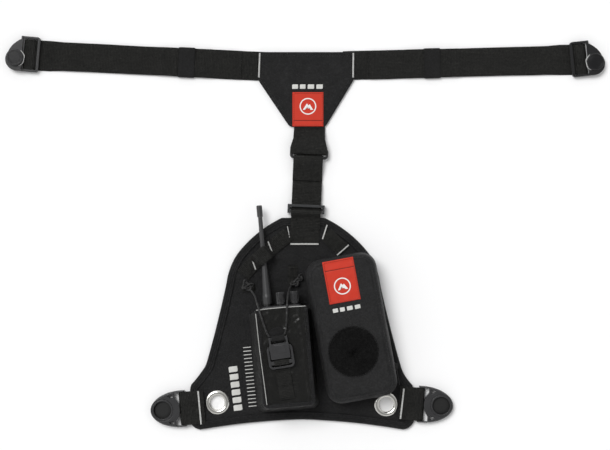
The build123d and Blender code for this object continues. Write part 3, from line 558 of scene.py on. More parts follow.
def knot(heap, x, y, z, size, turn):
    """An overhand knot pulled flat, size long and half as wide."""
    t = np.linspace(0, 2 * math.pi, 150, endpoint=False)
    along = (np.sin(t) + 2 * np.sin(2 * t)) * size / 5.4
    across = (np.cos(t) - 2 * np.cos(2 * t)) * size / 9.0
    rise = -1.35 * np.sin(3 * t)
    c, d = math.cos(turn), math.sin(turn)
    line = np.column_stack([x + along * c - across * d, y + along * d + across * c, z + rise])
    tube(heap, line, CORD_RADIUS, 12, weave=CORD_BRAID, closed=True)


def elastic_cords():
    for side, route in CORD_ROUTES.items():
        heap = Heap()
        line = spline_points("cord_route_" + side, route)
        tube(heap, line, CORD_RADIUS, 14, weave=CORD_BRAID)
        nodes = ["hold_down_cord"] if side == "left" else []
        cord = heap.piece("elastic_cord_" + side, CORD, "elastic_cord", None, nodes, sharp=180)
        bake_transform(cord)
        ties = Heap()
        for place in KNOTS[side]:
            knot(ties, *place)
        tied = ties.piece("cord_knot_" + side, CORD, "elastic_cord", "harness", sharp=180)


# ---------------------------------------------------------------- chest panel
def panel_chains():
    """The panel's upper and lower edges, each from left to right."""
    shoulders, hips = -2.0, -4.0

    def spot(x, y, sign):
        middle = hips if y < -179 else shoulders
        return (middle + sign * x, y)

    upper, lower = {}, {}
    for sign in (1, -1):
        upper[sign] = np.vstack([
            arc(spot(29, 22, sign), spot(61.5, 1.6, sign), spot(89.5, -27, sign)),
            arc(spot(89.5, -27, sign), spot(99, -45.5, sign), spot(104.5, -68, sign)),
            arc(spot(104.5, -68, sign), spot(117.5, -124, sign), spot(132, -178, sign)),
            arc(spot(132, -178, sign), spot(140.5, -193, sign), spot(151.5, -206, sign)),
            [spot(152.5, -243, sign)],
        ])
        lower[sign] = np.vstack([
            arc(spot(152.5, -243, sign), spot(149.5, -259, sign), spot(137.5, -265.5, sign)),
            arc(spot(137.5, -265.5, sign), spot(69, -256, sign), (hips, -251.6)),
        ])
    top = np.vstack([upper[-1][::-1], upper[1]])
    bottom = np.vstack([lower[-1], lower[1][::-1]])
    return top, bottom


def distance_to(outline, x, y):
    """How far each point lies from the nearest point of an outline."""
    best = np.full(x.shape, 1e9)
    for px, py in outline:
        best = np.minimum(best, (x - px) ** 2 + (y - py) ** 2)
    return np.sqrt(best)


def slab(heap, outline, low, high, roll, bulge, step, seed, holes=()):
    """A flat cloth piece whose two faces roll into each other at the outline.
    bulge is the height of its unevenness."""
    outline = np.asarray(outline, float)
    left, right = outline[:, 0].argmin(), outline[:, 0].argmax()
    if left > right:
        outline = np.roll(outline, -left, 0)
        left, right = 0, outline[:, 0].argmax()
    one = outline[left:right + 1]
    other = np.vstack([outline[right:], outline[:left + 1]])[::-1]
    if one[:, 1].mean() < other[:, 1].mean():
        one, other = other, one
    columns = int((outline[:, 0].max() - outline[:, 0].min()) / step)
    spread = 0.5 - 0.5 * np.cos(np.linspace(0, math.pi, columns))
    blend_x = 0.75 * np.linspace(0, 1, columns) + 0.25 * spread
    xs = outline[:, 0].min() + blend_x * np.ptp(outline[:, 0])
    tops = np.interp(xs, np.maximum.accumulate(one[:, 0]), one[:, 1])
    bottoms = np.interp(xs, np.maximum.accumulate(other[:, 0]), other[:, 1])
    rows = int((tops - bottoms).max() / step)
    t = 0.8 * np.linspace(0, 1, rows) + 0.2 * (0.5 - 0.5 * np.cos(np.linspace(0, math.pi, rows)))
    x = np.repeat(xs[None, :], rows, 0)
    y = bottoms[None, :] + t[:, None] * (tops - bottoms)[None, :]
    edge = np.clip(distance_to(resample(outline, 2.0, True), x, y) / roll, 0, 1)
    edge[0], edge[-1], edge[:, 0], edge[:, -1] = 0, 0, 0, 0
    shape = np.sqrt(1 - (1 - edge) ** 2)
    middle = (low + high) / 2
    uneven = bulge * ripple(x, y, 34, seed) + 0.4 * bulge * ripple(x, y, 11, seed + 1)
    drop = np.zeros(x.shape, bool)
    for hx, hy, radius in holes:
        drop |= (x - hx) ** 2 + (y - hy) ** 2 < radius ** 2
    uv = np.stack([x, y], -1)
    for face_z, turn, noise_share in ((high, 1, 1.0), (low, -1, 0.15)):
        z = middle + (face_z - middle) * shape + uneven * shape * noise_share
        rings = np.stack([x, y, z], -1)
        if turn < 0:
            heap.put(rings[:, ::-1], uv[:, ::-1], around=False, drop=drop[:, ::-1])
        else:
            heap.put(rings, uv, around=False, drop=drop)


EDGE_STEP = 1.6


def edge_ring(outline, profile, heap):
    """A closed band round an outline; profile gives (inward distance, height) pairs."""
    line = soften(resample(outline, EDGE_STEP, True), 2.2, True)
    inward = inward_of(line)
    at = np.arange(len(line)) * EDGE_STEP
    rings, uv = [], []
    for depth, z in profile:
        uneven = 0.12 * ripple(line[:, 0] + 3 * depth, line[:, 1], 16, 9)
        place = line + inward * (depth + uneven[:, None] * 0.6)
        rings.append(np.column_stack([place, np.full(len(line), z) + uneven * (1 if z > 3 else 0)]))
        uv.append(np.column_stack([at, np.full(len(line), depth + (14 if z < 3 else 0))]))
    rings = np.array(rings).transpose(1, 0, 2)
    heap.put(rings, np.array(uv).transpose(1, 0, 2), along=True)
    return line, inward


TOP_EDGE, LOW_EDGE = panel_chains()
PANEL = np.vstack([TOP_EDGE, LOW_EDGE[::-1]])


def chest_panel():
    holes = [(x, y, 10.9) for x, y in GROMMETS]
    heap = Heap()
    slab(heap, PANEL, 0.9, 5.25, 3.0, 0.3, 2.0, 11, holes)
    panel = heap.piece("chest_panel", PACK_CLOTH, "pack_cloth", "harness",
                       ["panel_lining", "panel_foam", "panel_face"])

    tape = Heap()
    profile = [
        (11.0, 0.9), (10.6, 0.2), (8.0, 0.1), (2.0, 0.05), (0.7, 0.6), (0.1, 1.8), (0.0, 3.0), (0.1, 4.3),
        (0.7, 5.5), (2.0, 6.15), (5.0, 6.3), (8.6, 6.0), (9.8, 6.15), (10.8, 6.0), (11.3, 5.5), (11.2, 5.0),
        (6.0, 4.9), (2.0, 4.6), (1.2, 3.0), (2.0, 1.3), (6.0, 1.0),
    ]
    line, inward = edge_ring(PANEL, profile, tape)
    tape.piece("panel_edge_tape", TAPE, "binding_tape", "harness", ["panel_binding"])
    rows = Heap()
    for depth, height in ((8.9, 6.12), (3.0, 6.3)):
        stitches(rows, at_height(line + inward * depth, height), closed=True)
    stitches(rows, at_height(line + inward * 8.9, 0.12), up=(0, 0, -1), closed=True, rise=0.05)
    rows.piece("panel_edge_stitches", BLACK_THREAD, "binding_tape", "harness")


def printed_marks():
    """Generic bars printed beside the pocket: a bold column and a thin one, with no lettering."""
    heap = Heap()
    bold = [(start, start + 0.13) for start in np.arange(0.0, 0.9, 0.174)]
    thin = [(start, start + 0.014) for start in np.arange(0.0, 1.0, 0.062)]
    columns = [((-90.0, -239.4), (-97.6, -179.5), 12.0, bold), ((-70.6, -233.9), (-78.4, -153.7), 11.0, thin)]
    for low, high, width, bars in columns:
        low, high = np.array(low), np.array(high)
        way = unit(high - low)
        side = np.array([way[1], -way[0]])
        length = np.linalg.norm(high - low)
        for start, end in bars:
            along = np.linspace(start * length, end * length, 8)
            across = np.linspace(-width / 2, width / 2, 8)
            a, c = np.meshgrid(along, across, indexing="ij")
            plan = low + way * a[..., None] + side * c[..., None]
            inside = np.minimum(np.minimum(a - a.min(), a.max() - a), np.minimum(c - c.min(), c.max() - c))
            z = 5.35 + 0.3 * ripple(plan[..., 0], plan[..., 1], 34, 11) + (
                0.12 * ripple(plan[..., 0], plan[..., 1], 11, 12)) + np.where(inside > 0.1, 0.14, -0.12)
            heap.put(np.dstack([plan, z]), np.dstack([a, c]), around=False)
    heap.piece("panel_print", PRINT, "pack_cloth", "harness")


# ---------------------------------------------------------------- webbing on the panel
def panel_webbing():
    left = Heap()
    route = [
        (-21.0, 0.2, 6.6), (-27.0, -4.8, 6.7), (-36.0, -11.9, 6.8), (-45.5, -19.6, 6.8), (-48.0, -21.7, 7.4),
        (-48.6, -22.3, 13.0), (-49.9, -23.4, 21.0), (-53.0, -25.9, 22.9), (-60.4, -32.1, 22.9), (-64.3, -35.5, 21.0),
        (-65.7, -36.7, 13.0), (-66.6, -37.5, 7.4), (-69.0, -39.7, 6.8), (-77.0, -48.4, 6.7), (-83.6, -56.2, 6.7),
    ]
    webbing(left, route, 20.0, 1.3, rib=1.7, seed=21, soft=4)
    left.piece("daisy_webbing_left_cloth", WEBBING, "webbing", "harness", ["daisy_webbing_left"])
    right = Heap()
    webbing(right, [(28.3, 0.7, 6.7), (38.0, -8.9, 7.1), (45.0, -15.6, 7.1), (53.2, -23.7, 6.7)], 20.0, 1.3,
            rib=1.7, seed=22)
    right.piece("daisy_webbing_right_cloth", WEBBING, "webbing", "harness", ["daisy_webbing_right"])

    anchors = Heap()
    webbing(anchors, [(-16.4, -42.2, 6.0), (-15.9, -55, 6.1), (-15.3, -68.8, 6.0)], 13.0, 1.2, rib=1.6, seed=23)
    webbing(anchors, [(-16.0, -61.0, 7.3), (-15.6, -66.0, 8.6), (-15.2, -70.5, 8.2), (-15.2, -70.9, 6.6),
                      (-15.5, -62.0, 6.6)], 11.0, 1.0, side=(1, 0, 0), rib=1.4, seed=24, soft=2)
    webbing(anchors, [(-84.0, -74.0, 6.0), (-75.5, -73.4, 6.1), (-67.2, -72.8, 6.0)], 10.5, 1.2, rib=1.6, seed=25)
    webbing(anchors, [(-80.0, -73.0, 7.2), (-74.5, -72.6, 8.6), (-69.0, -72.2, 8.0), (-68.4, -72.1, 6.6)], 9.0, 1.0,
            rib=1.4, seed=26, soft=2)
    anchors.piece("cord_anchor_webbing", WEBBING, "webbing", "harness", ["cord_anchors"])

    for side, frame_of in CORNERS.items():
        tab = Heap()
        bend = [(4.6 * math.sin(a), 4.7 + 3.2 * math.cos(a)) for a in np.linspace(0, math.pi, 9)]
        path = [(-28.5, 8.15), (-12.0, 8.2), (-5.0, 8.1)] + bend + [(-2.2, 1.6), (-4.6, 4.6), (-6.6, 6.65), (-28, 6.65)]
        points = frame_of.out([(x, 0, z) for x, z in path])
        webbing(tab, points, 45.0, 1.25, side=frame_of.up, rib=2.1, seed=27, soft=2.0, lift=0.1)
        tab.piece("corner_tab_" + side, WEBBING, "webbing", "harness", ["corner_webbing_" + side])
        # A near-black disc on each buckle's recess floor: painted shade, darkening the recess where shadow falls.
        shade_disc = Heap()
        turns = np.linspace(0, 2 * math.pi, 60, endpoint=False)
        rings = [[(RECESS_X + r * math.cos(a), r * math.sin(a), z) for a in turns] for r, z in (
            (11.7, 3.3), (11.7, 3.6), (10.9, 3.75), (7.0, 3.7), (0.3, 3.7))]
        shade_disc.put(frame_of.out(rings))
        shade_disc.piece("recess_painted_shade_" + side, RECESS_SHADE_FINISH, "grey_buckle", "corner_buckle_" + side)


def white_stitching():
    """The bar tacks that show as white thread."""
    heap = Heap()
    tacks = [
        ((-49.6, -10.2, 7.6), (-43.0, -27.6, 7.6), 1.9), ((-72.4, -31.4, 7.6), (-66.4, -48.2, 7.6), 1.9),
        ((30.3, 12.2, 7.5), (24.2, -6.8, 7.5), 1.9), ((59.6, -15.0, 7.5), (43.9, -28.6, 7.5), 1.9),
        ((-144.4, -212.8, 9.0), (-140.3, -257.7, 9.0), 2.4), ((134.4, -209.4, 9.0), (129.6, -250.2, 9.0), 2.4),
        ((-62.2, 212.5, 4.1), (-61.0, 245.5, 4.1), 2.4), ((65.6, 212.5, 4.1), (66.0, 245.5, 4.1), 2.4),
        ((-19.3, -13.6, 7.3), (18.8, -13.6, 7.3), 2.4),
        ((-23.4, 10.4, 6.9), (-20.4, -4.6, 7.3), 1.2),
    ]
    for a, b, width in tacks:
        bartack(heap, a, b, width)
    heap.piece("white_bar_tacks", WHITE_THREAD, "webbing", "harness")


# ---------------------------------------------------------------- yoke and straps
YOKE = [(-63.5, 209.4), (-20.5, 145.5), (28.0, 145.5), (67.7, 211.0), (67.0, 247.0), (-62.8, 247.0)]


def yoke_unevenness(x, y):
    return 0.18 * ripple(x, y, 34, 31)


def yoke():
    outline = soften(resample(YOKE, 1.0, True), 2.2, True)
    face = Heap()
    slab(face, outline, 2.45, 3.95, 1.4, 0.18, 1.7, 31)
    face.piece("yoke_cloth", PACK_CLOTH, "pack_cloth", "harness", ["yoke_face"])
    back = Heap()
    slab(back, outline, 0.05, 2.4, 1.4, 0.05, 2.4, 32)
    back.piece("yoke_back_mesh", BACK_MESH, "lining_mesh", "harness", ["yoke_lining"])
    rows = Heap()
    inward = inward_of(outline)
    for depth in (3.0, 5.4):
        place = outline + inward * depth
        stitches(rows, np.column_stack([place, 4.0 + yoke_unevenness(*place.T)]), closed=True, radius=0.2)
    rows.piece("yoke_stitches", BLACK_THREAD, "pack_cloth", "harness")


def shoulder_straps():
    for side, frame_of in STRAPS.items():
        keeper, out = KEEPER_AT[side], BUCKLE_AT[side]
        lift = 1.3
        path = [
            (0.3, 1.6), (16, 1.6), (24, 1.0), (keeper - 38, 1.0), (keeper - 34, 0.9 + lift), (keeper + 34, 0.9 + lift),
            (keeper + 38, 1.0), (out + 7.6, 1.0), (out + 8.9, 1.6), (out + 8.7, 3.0), (out + 7.2, 4.9),
            (out + 4.8, 5.9), (out - 4.6, 5.9), (out - 7.6, 4.2), (out - 11.5, 2.5), (out - 16, 2.35),
            (keeper + 38, 2.35), (keeper + 34, 2.35 + lift), (keeper - 34, 2.35 + lift), (keeper - 38, 2.35),
            (36.0, 2.35),
        ]
        heap = Heap()
        points = frame_of.out([(x, 0, z) for x, z in path])
        turned = Frame(0, 0, BUCKLE_TURN[side]).up

        def follow(line, frame_of=frame_of, turned=turned, out=out):
            """Across the webbing, swinging to the buckle's bar near the buckle."""
            reach = (line - frame_of.origin) @ frame_of.across
            share = np.clip((reach - (out - 45)) / 38, 0, 1)[:, None]
            return unit(frame_of.up * (1 - share) + turned * share)

        widths = [(0, 39), (0.10, 39.5), (0.28, 38), (0.44, 39), (0.47, 41.2), (0.53, 41.2), (0.57, 39),
                  (0.8, 38.5), (1, 39)]
        webbing(heap, points, widths, 1.35, side=follow, seed=41 + out, soft=2.2, lift=0.1, step=0.5)
        heap.piece("shoulder_webbing_" + side, WEBBING, "webbing", "harness", ["shoulder_strap_" + side])

        # A light grey arc beside each stud: a painted highlight, standing for the reflection on the buckle ring's edge
        # near the strap.
        stud_highlight = Heap()
        centre = BUCKLES[side].out([[STUD_X, STUD_Y[side], 0.0]])[0]
        toward = math.radians(BUCKLE_TURN[side] + 180)
        turns = toward + np.radians(np.linspace(-62, 58, 40))
        wobble = 12.5 + 0.35 * np.sin(7 * turns)
        thickness = 0.5 * np.sqrt(np.clip(1 - np.linspace(-1, 1, 40) ** 4, 0.05, 1))
        plan = np.column_stack([centre[0] + wobble * np.cos(turns), centre[1] + wobble * np.sin(turns)])
        tube(stud_highlight, at_height(plan, 8.15), thickness, 8)
        stud_highlight.piece("stud_painted_highlight_" + side, SEAT_HIGHLIGHT_FINISH, "stud_plastic", "harness")

        band = Heap()
        half = SHOULDER_WIDTH / 2 + 1.1
        corners = [(-half, 1.2), (-half + 1.0, 0.5), (half - 1.0, 0.5), (half, 1.2), (half, 4.5), (half - 1.0, 5.3),
                   (-half + 1.0, 5.3), (-half, 4.5)]
        loop = frame_of.out([(keeper, y, z) for y, z in corners])
        webbing(band, loop, 22.0, 0.85, side=frame_of.across, rib=1.5, depth=0.12, seed=51, soft=1.6, closed=True,
                lift=0.04)
        band.piece("keeper_band_" + side, ELASTIC, "elastic", "strap_keeper_" + side, ["strap_keeper_" + side])


def center_webbing():
    bend = np.linspace(0, math.pi, 11)
    upper_bar, lower_bar, ring_z, reach = 128.6, 117.4, 6.4, 2.95
    loop = Heap()
    under = [(176.0, 1.3), (158.0, 1.3), (146.0, 1.8), (136.0, 2.8)]
    turn = [(upper_bar - 4.2 - reach * math.sin(a), ring_z - reach * math.cos(a)) for a in bend]
    over = [(131.0, 9.5), (138.0, 8.6), (148.0, 5.6), (156.0, 2.9), (162.0, 2.3), (176.0, 2.3)]
    points = CENTER.out([(0, y, z) for y, z in under + turn + over])
    widths = [(0, 40), (0.3, 40), (0.42, 48), (0.58, 50.5), (0.70, 43), (1.0, 41)]
    webbing(loop, points, widths, 1.25, side=-CENTER.across, rib=2.0, seed=61, soft=2.2)
    loop.piece("upper_loop_webbing", WEBBING, "webbing", "harness", ["upper_strap_loop"])

    strap = Heap()
    turn = [(lower_bar + reach * math.sin(a), ring_z + reach * math.cos(a)) for a in bend]
    path = [(86.5, 3.6), (92.0, 4.0), (104.0, 7.6), (112.0, 9.1)] + turn + [
        (104.0, 2.4), (92.0, 1.2), (88.0, 1.0), (85.5, 1.6), (81.0, 5.0), (76.0, 5.1), (51.0, 5.1), (47.6, 6.4),
        (45.2, 10.2), (42.5, 10.9), (39.6, 9.8), (36.5, 7.3), (30.0, 6.9), (22.0, 6.9), (18.0, 6.1), (0.5, 6.0)]
    points = CENTER.out([(0, y, z) for y, z in path])
    webbing(strap, points, CENTER_WIDTH, 1.35, side=CENTER.across, rib=2.0, seed=62, soft=2.4, lift=0.14)
    strap.piece("center_strap_webbing", WEBBING, "webbing", "harness", ["center_strap"])


# ---------------------------------------------------------------- red labels
def label(name, place, width, height, surface, body, nodes, fold, middle_y):
    """A soft moulded label with a rim, a sewn fold, a ring and two plain peaks."""
    heap = Heap()
    x, y = np.meshgrid(np.linspace(-width / 2, width / 2, 34), np.linspace(-height / 2, height / 2, 90))
    inside = np.minimum(width / 2 - np.abs(x), height / 2 - np.abs(y))
    rim = 0.22 * np.exp(-((inside - 1.2) / 0.7) ** 2) - 0.1 * np.exp(-((inside - 2.6) / 0.5) ** 2)
    thick = 0.85 * np.sqrt(1 - (1 - np.clip(inside / 0.8, 0, 1)) ** 2)
    crease = 0.6 * np.exp(-((y - fold) / 0.55) ** 2)
    plan = place.out(np.dstack([x, y, 0 * x]))[..., :2]
    base = surface(x, y)
    heap.put(np.dstack([plan, base + thick + (rim - crease) * (thick > 0.2)]), np.dstack([x, y]), around=False)
    heap.put(np.dstack([plan, base - 0.25])[:, ::-1], np.dstack([x, y])[:, ::-1], around=False)
    heap.piece(name, RED_LABEL, "red_label", body, nodes)

    def flat(points, high):
        points = np.asarray(points, float)
        spot = place.out(np.column_stack([points, np.zeros(len(points))]))[:, :2]
        return np.column_stack([spot, surface(points[:, 0], points[:, 1]) + high])

    mark = Heap()
    angles = np.linspace(0, 2 * math.pi, 48, endpoint=False)
    size = width * 0.27
    rings = []
    for radius, high in ((size, 0.85), (size - 0.1, 1.08), (size - 1.5, 1.08), (size - 1.6, 0.85)):
        rings.append(flat(np.column_stack([radius * np.cos(angles), middle_y + radius * np.sin(angles)]), high))
    mark.put(np.array(rings)[::-1])
    peaks = [(-0.62, -0.42), (-0.12, 0.36), (0.06, 0.10), (0.22, 0.26), (0.62, -0.42), (0.30, -0.42), (0.18, -0.16),
             (0.02, -0.30), (-0.10, 0.0), (-0.36, -0.42)]
    loop = resample(np.array(peaks) * size + [0, middle_y], 0.6, True)
    centre = loop.mean(0)
    mark.put(np.array([flat(loop, 0.8), flat(loop, 1.08), flat(centre + (loop - centre) * 0.55, 1.08),
                       flat(centre + (loop - centre) * 0.05, 1.08)]))
    mark.piece(name + "_mark", WHITE_MARK, "red_label", body)
    rows = Heap()
    edge_x, edge_y = width / 2 - 1.9, height / 2 - 1.9
    loop = resample([(-edge_x, -edge_y), (edge_x, -edge_y), (edge_x, edge_y), (-edge_x, edge_y)], 2.6, True)
    stitches(rows, flat(loop, 0.86), pitch=2.6, length=1.9, radius=0.17, closed=True)
    seam = np.column_stack([np.linspace(-edge_x, edge_x, 40), np.full(40, fold)])
    stitches(rows, flat(seam, 0.45), pitch=1.5, length=1.35, radius=0.30)
    rows.piece(name + "_stitches", BLACK_THREAD, "red_label", body)


def printed_blocks(name, place, middle, width, height, surface, body, slot):
    """Plain blocks printed in a row where the cloth carries a line of print, with no lettering."""
    heap = Heap()
    shares = [(0.0, 0.20), (0.25, 0.44), (0.50, 0.72), (0.78, 1.0)]
    for start, end in shares:
        x, y = np.meshgrid(np.linspace(-0.5 + start, -0.5 + end, 8) * width, np.linspace(-0.5, 0.5, 8) * height)
        inside = np.minimum(np.minimum(x - x.min(), x.max() - x), np.minimum(y - y.min(), y.max() - y))
        x, y = x + middle[0], y + middle[1]
        plan = place.out(np.dstack([x, y, 0 * x]))[..., :2]
        z = surface(x, y) + np.where(inside > 0.1, 0.13, -0.12)
        heap.put(np.dstack([plan, z]), np.dstack([x, y]), around=False)
    heap.piece(name, PRINT, slot, body)


# ---------------------------------------------------------------- pocket and hold-down tab
def u_line(left, right, bottom, top, radius, count=160):
    """A line down one side, round the foot and up the other side."""
    points = [(left, top), (left, bottom + radius)]
    for middle, start, end in ((left + radius, 1.0, 1.5), (right - radius, 1.5, 2.0)):
        for a in np.linspace(start * math.pi, end * math.pi, 8):
            points.append((middle + radius * math.cos(a), bottom + radius + radius * math.sin(a)))
    points = np.array(points + [(right, top)])
    at = distances(points)
    return spots(points, at, np.linspace(0, at[-1], count))


def film_height(x, y):
    """The film's height over the radio, in the radio's frame."""
    puff = 0.42 * ripple(x, y * 0.5, 26, 71) + 0.24 * ripple(x, y * 0.6, 8, 72)
    fold = 0.45 * np.exp(-((y + 112 + 0.25 * x) / 2.4) ** 2) + 0.55 * np.exp(-((x - 22 + 0.05 * y) / 2.2) ** 2)
    fold = fold + 0.45 * np.exp(-((y + 34 - 0.55 * x) / 2.6) ** 2) * (x > -8) + (
        0.5 * np.exp(-((y + 96 - 0.8 * (x - 20)) / 2.4) ** 2) * (x > 8))
    sag = -0.5 * np.exp(-((y + 128) / 9) ** 2)
    return 42.5 + puff + fold + sag


def pocket():
    foot = u_line(-44.0, 38.5, -143.5, -10.0, 9.0)
    crest = u_line(-32.6, 32.6, -133.8, -3.0, 6.0)
    levels = np.linspace(0, 1, 34)
    skins = []
    for shrink in (0.0, 1.1):
        rows = []
        for t in levels:
            plan = foot * (1 - t) + crest * t
            along = np.arange(len(plan)) * 2.0
            crease = 1.1 * ripple(along, np.full(len(plan), t * 36.0), 17, 73) + (
                0.8 * ripple(along * 0.5, np.full(len(plan), t * 60.0), 12, 74))
            bow = -1.0 * math.sin(math.pi * t) + crease * math.sin(math.pi * t)
            bow = bow + 0.8 * math.exp(-((t - 0.03) / 0.04) ** 2)
            rows.append(at_height(plan + right_of(plan) * (bow - shrink)[:, None], 5.4 + 36.3 * t))
        skins.append(np.array(rows))
    outer, inner = skins
    heap = Heap()
    both = np.concatenate([outer, inner[::-1]])
    uv = uv_grid(np.arange(both.shape[1]) * 2.0, np.arange(both.shape[0]) * 1.1)
    heap.put(RADIO.out(both), uv, around=False, along=True)
    heap.piece("pocket_walls", POCKET_CLOTH, "pocket_cloth", "harness", ["pocket_gusset"])

    rim = Heap()
    outward = right_of(crest)
    uneven = 0.1 * ripple(crest[:, 0], crest[:, 1], 12, 75)
    welt = [(1.7, 41.1), (2.3, 42.0), (1.8, 42.9), (0.6, 43.2), (-1.4, 43.25), (-3.2, 43.05), (-3.4, 42.2),
            (-1.0, 41.2)]
    rings = [RADIO.out(np.column_stack([crest + outward * d, z + uneven])) for d, z in welt]
    rim.put(np.array(rings).transpose(1, 0, 2), uv_grid(np.arange(8) * 1.5, np.arange(len(crest)) * 2.0), caps=True)
    rim.piece("pocket_welt", TAPE, "pocket_cloth", "harness")
    rows = Heap()
    stitches(rows, RADIO.out(at_height(crest - outward * 2.0, 43.3)), radius=0.18, pitch=2.8, length=2.0)
    rows.piece("pocket_welt_stitches", BLACK_THREAD, "pocket_cloth", "harness")

    # Light grey beads along the film's mouth and left edge: painted highlights, standing for light caught on the film's
    # folded edges.
    bright = Heap()
    mouth = [(-33.5, -3.4, 43.0), (-12, -2.6, 43.5), (12, -2.8, 43.4), (32.5, -3.4, 43.0)]
    edge = [(-34.6, -8.0, 42.9), (-33.6, -56.0, 43.3), (-31.6, -97.0, 43.5), (-30.2, -130.0, 43.4)]
    for line in (mouth, edge):
        tube(bright, RADIO.out(soften(resample(line, 2.0), 4)), 0.55, 8)
    bright.piece("pocket_film_highlight", FILM_HIGHLIGHT_FINISH, "pocket_cloth", "harness")

    film = Heap()
    x, y = np.meshgrid(np.linspace(-32.0, 32.0, 60), np.linspace(-133.2, -3.2, 110))
    corner = np.clip((np.abs(x) - 26) / 6, 0, 1) * np.clip((-127 - y) / 6, 0, 1)
    x = x * (1 - 0.03 * corner)
    z = film_height(x, y)
    film.put(RADIO.out(np.dstack([x, y, z + 0.35])), np.dstack([x, y]), around=False)
    film.put(RADIO.out(np.dstack([x, y, z - 0.25])[:, ::-1]), np.dstack([x, y])[:, ::-1], around=False)
    film.piece("pocket_film", SMOKED_FILM, "clear_film", "harness", ["pocket_window"])


def hold_down_parts():
    strap = Heap()
    path = [(-60.0, 43.85), (-7.2, 43.85), (-6.3, 45.2), (-6.3, 49.2), (-7.0, 50.25), (-13.0, 50.25), (-13.7, 49.2),
            (-13.7, 46.0), (-15.0, 45.1), (-57.5, 45.1)]
    points = HOLD.out([(0, y, z) for y, z in path])
    webbing(strap, points, 19.6, 1.0, side=HOLD.across, rib=2.6, depth=0.34, seed=81, soft=1.4, lift=0.10)
    strap.piece("pocket_strap_webbing", WEBBING, "webbing", "harness", ["pocket_strap"])
    tab = Heap()
    path = [(36.5, 44.0), (20.0, 43.95), (18.7, 45.0), (18.65, 49.5), (19.5, 50.6), (23.9, 50.6), (24.95, 49.5),
            (24.95, 46.0), (26.5, 45.3), (36.5, 45.2)]
    points = HOLD.out([(0, y, z) for y, z in path])
    widths = [(0, 9.0), (0.04, 16.0), (0.12, 20.5), (0.3, 20.5), (0.36, 17.5), (0.66, 17.5), (0.74, 20.5),
              (0.90, 20.5), (0.97, 16.0), (1.0, 9.0)]
    webbing(tab, points, widths, 1.0, side=HOLD.across, rib=1.5, seed=82, soft=1.4, lift=0.05)
    tab.piece("hold_down_tab_webbing", ELASTIC, "elastic", "hold_down", ["hold_down_tab"])


# ---------------------------------------------------------------- pouch
POUCH_WIDTH, POUCH_LENGTH, POUCH_CORNER = 95.0, 194.3, 20.0
POUCH_POINTS = 480
PATCH_X, PATCH_Y, PATCH_RADIUS = -3.3, -30.7, 34.0
COIL_STEP, COIL_PITCH = 0.22, 1.5


def pouch_outline(inset):
    """The pouch's rounded outline, drawn in by inset; point 0 is at the middle of the foot."""
    half_x, half_y = POUCH_WIDTH / 2 - inset, POUCH_LENGTH / 2 - inset
    radius = min(max(POUCH_CORNER - inset * 0.6, 3.0), half_x)
    points = [(0, -half_y)]
    for cx, cy, start in ((1, -1, -90), (1, 1, 0), (-1, 1, 90), (-1, -1, 180)):
        for a in np.radians(np.linspace(start, start + 90, 16)):
            points.append((
                cx * (half_x - radius) + radius * math.cos(a), cy * (half_y - radius) + radius * math.sin(a)))
    points = np.array(points + [(0, -half_y)])
    at = distances(points)
    return spots(points, at, np.linspace(0, at[-1], POUCH_POINTS, endpoint=False))


def lid_height(x, y):
    """The height of the lid's padded face, in the pouch's frame."""
    x, y = np.asarray(x, float), np.asarray(y, float)
    dx = POUCH_WIDTH / 2 - np.abs(x)
    dy = POUCH_LENGTH / 2 - np.abs(y)
    inside = np.minimum(dx, dy)
    crown = 1.2 * (1 - np.exp(-np.clip(inside - 8, 0, 99) / 12))
    return 37.75 + crown + 0.30 * ripple(x, y, 42, 91) + 0.14 * ripple(x, y, 14, 92)


def pouch_skin(stations, uneven):
    """Rings round the pouch from (inset, height) stations."""
    rings = []
    for inset, z in stations:
        plan = pouch_outline(inset)
        lateral = uneven * ripple(plan[:, 0], plan[:, 1] + z * 3, 26, 93)
        rings.append(at_height(plan + unit(plan) * lateral[:, None], z))
    return rings


def skin_uv(rings):
    """Distances round and across a skin made of rings round the pouch."""
    at = np.arange(POUCH_POINTS) * (2 * (POUCH_WIDTH + POUCH_LENGTH) / POUCH_POINTS)
    drift = np.cumsum([0] + [float(np.abs(after - before).max()) for before, after in zip(rings[:-1], rings[1:])])
    return np.stack(np.broadcast_arrays(at[None, :], drift[:, None]), -1).copy()


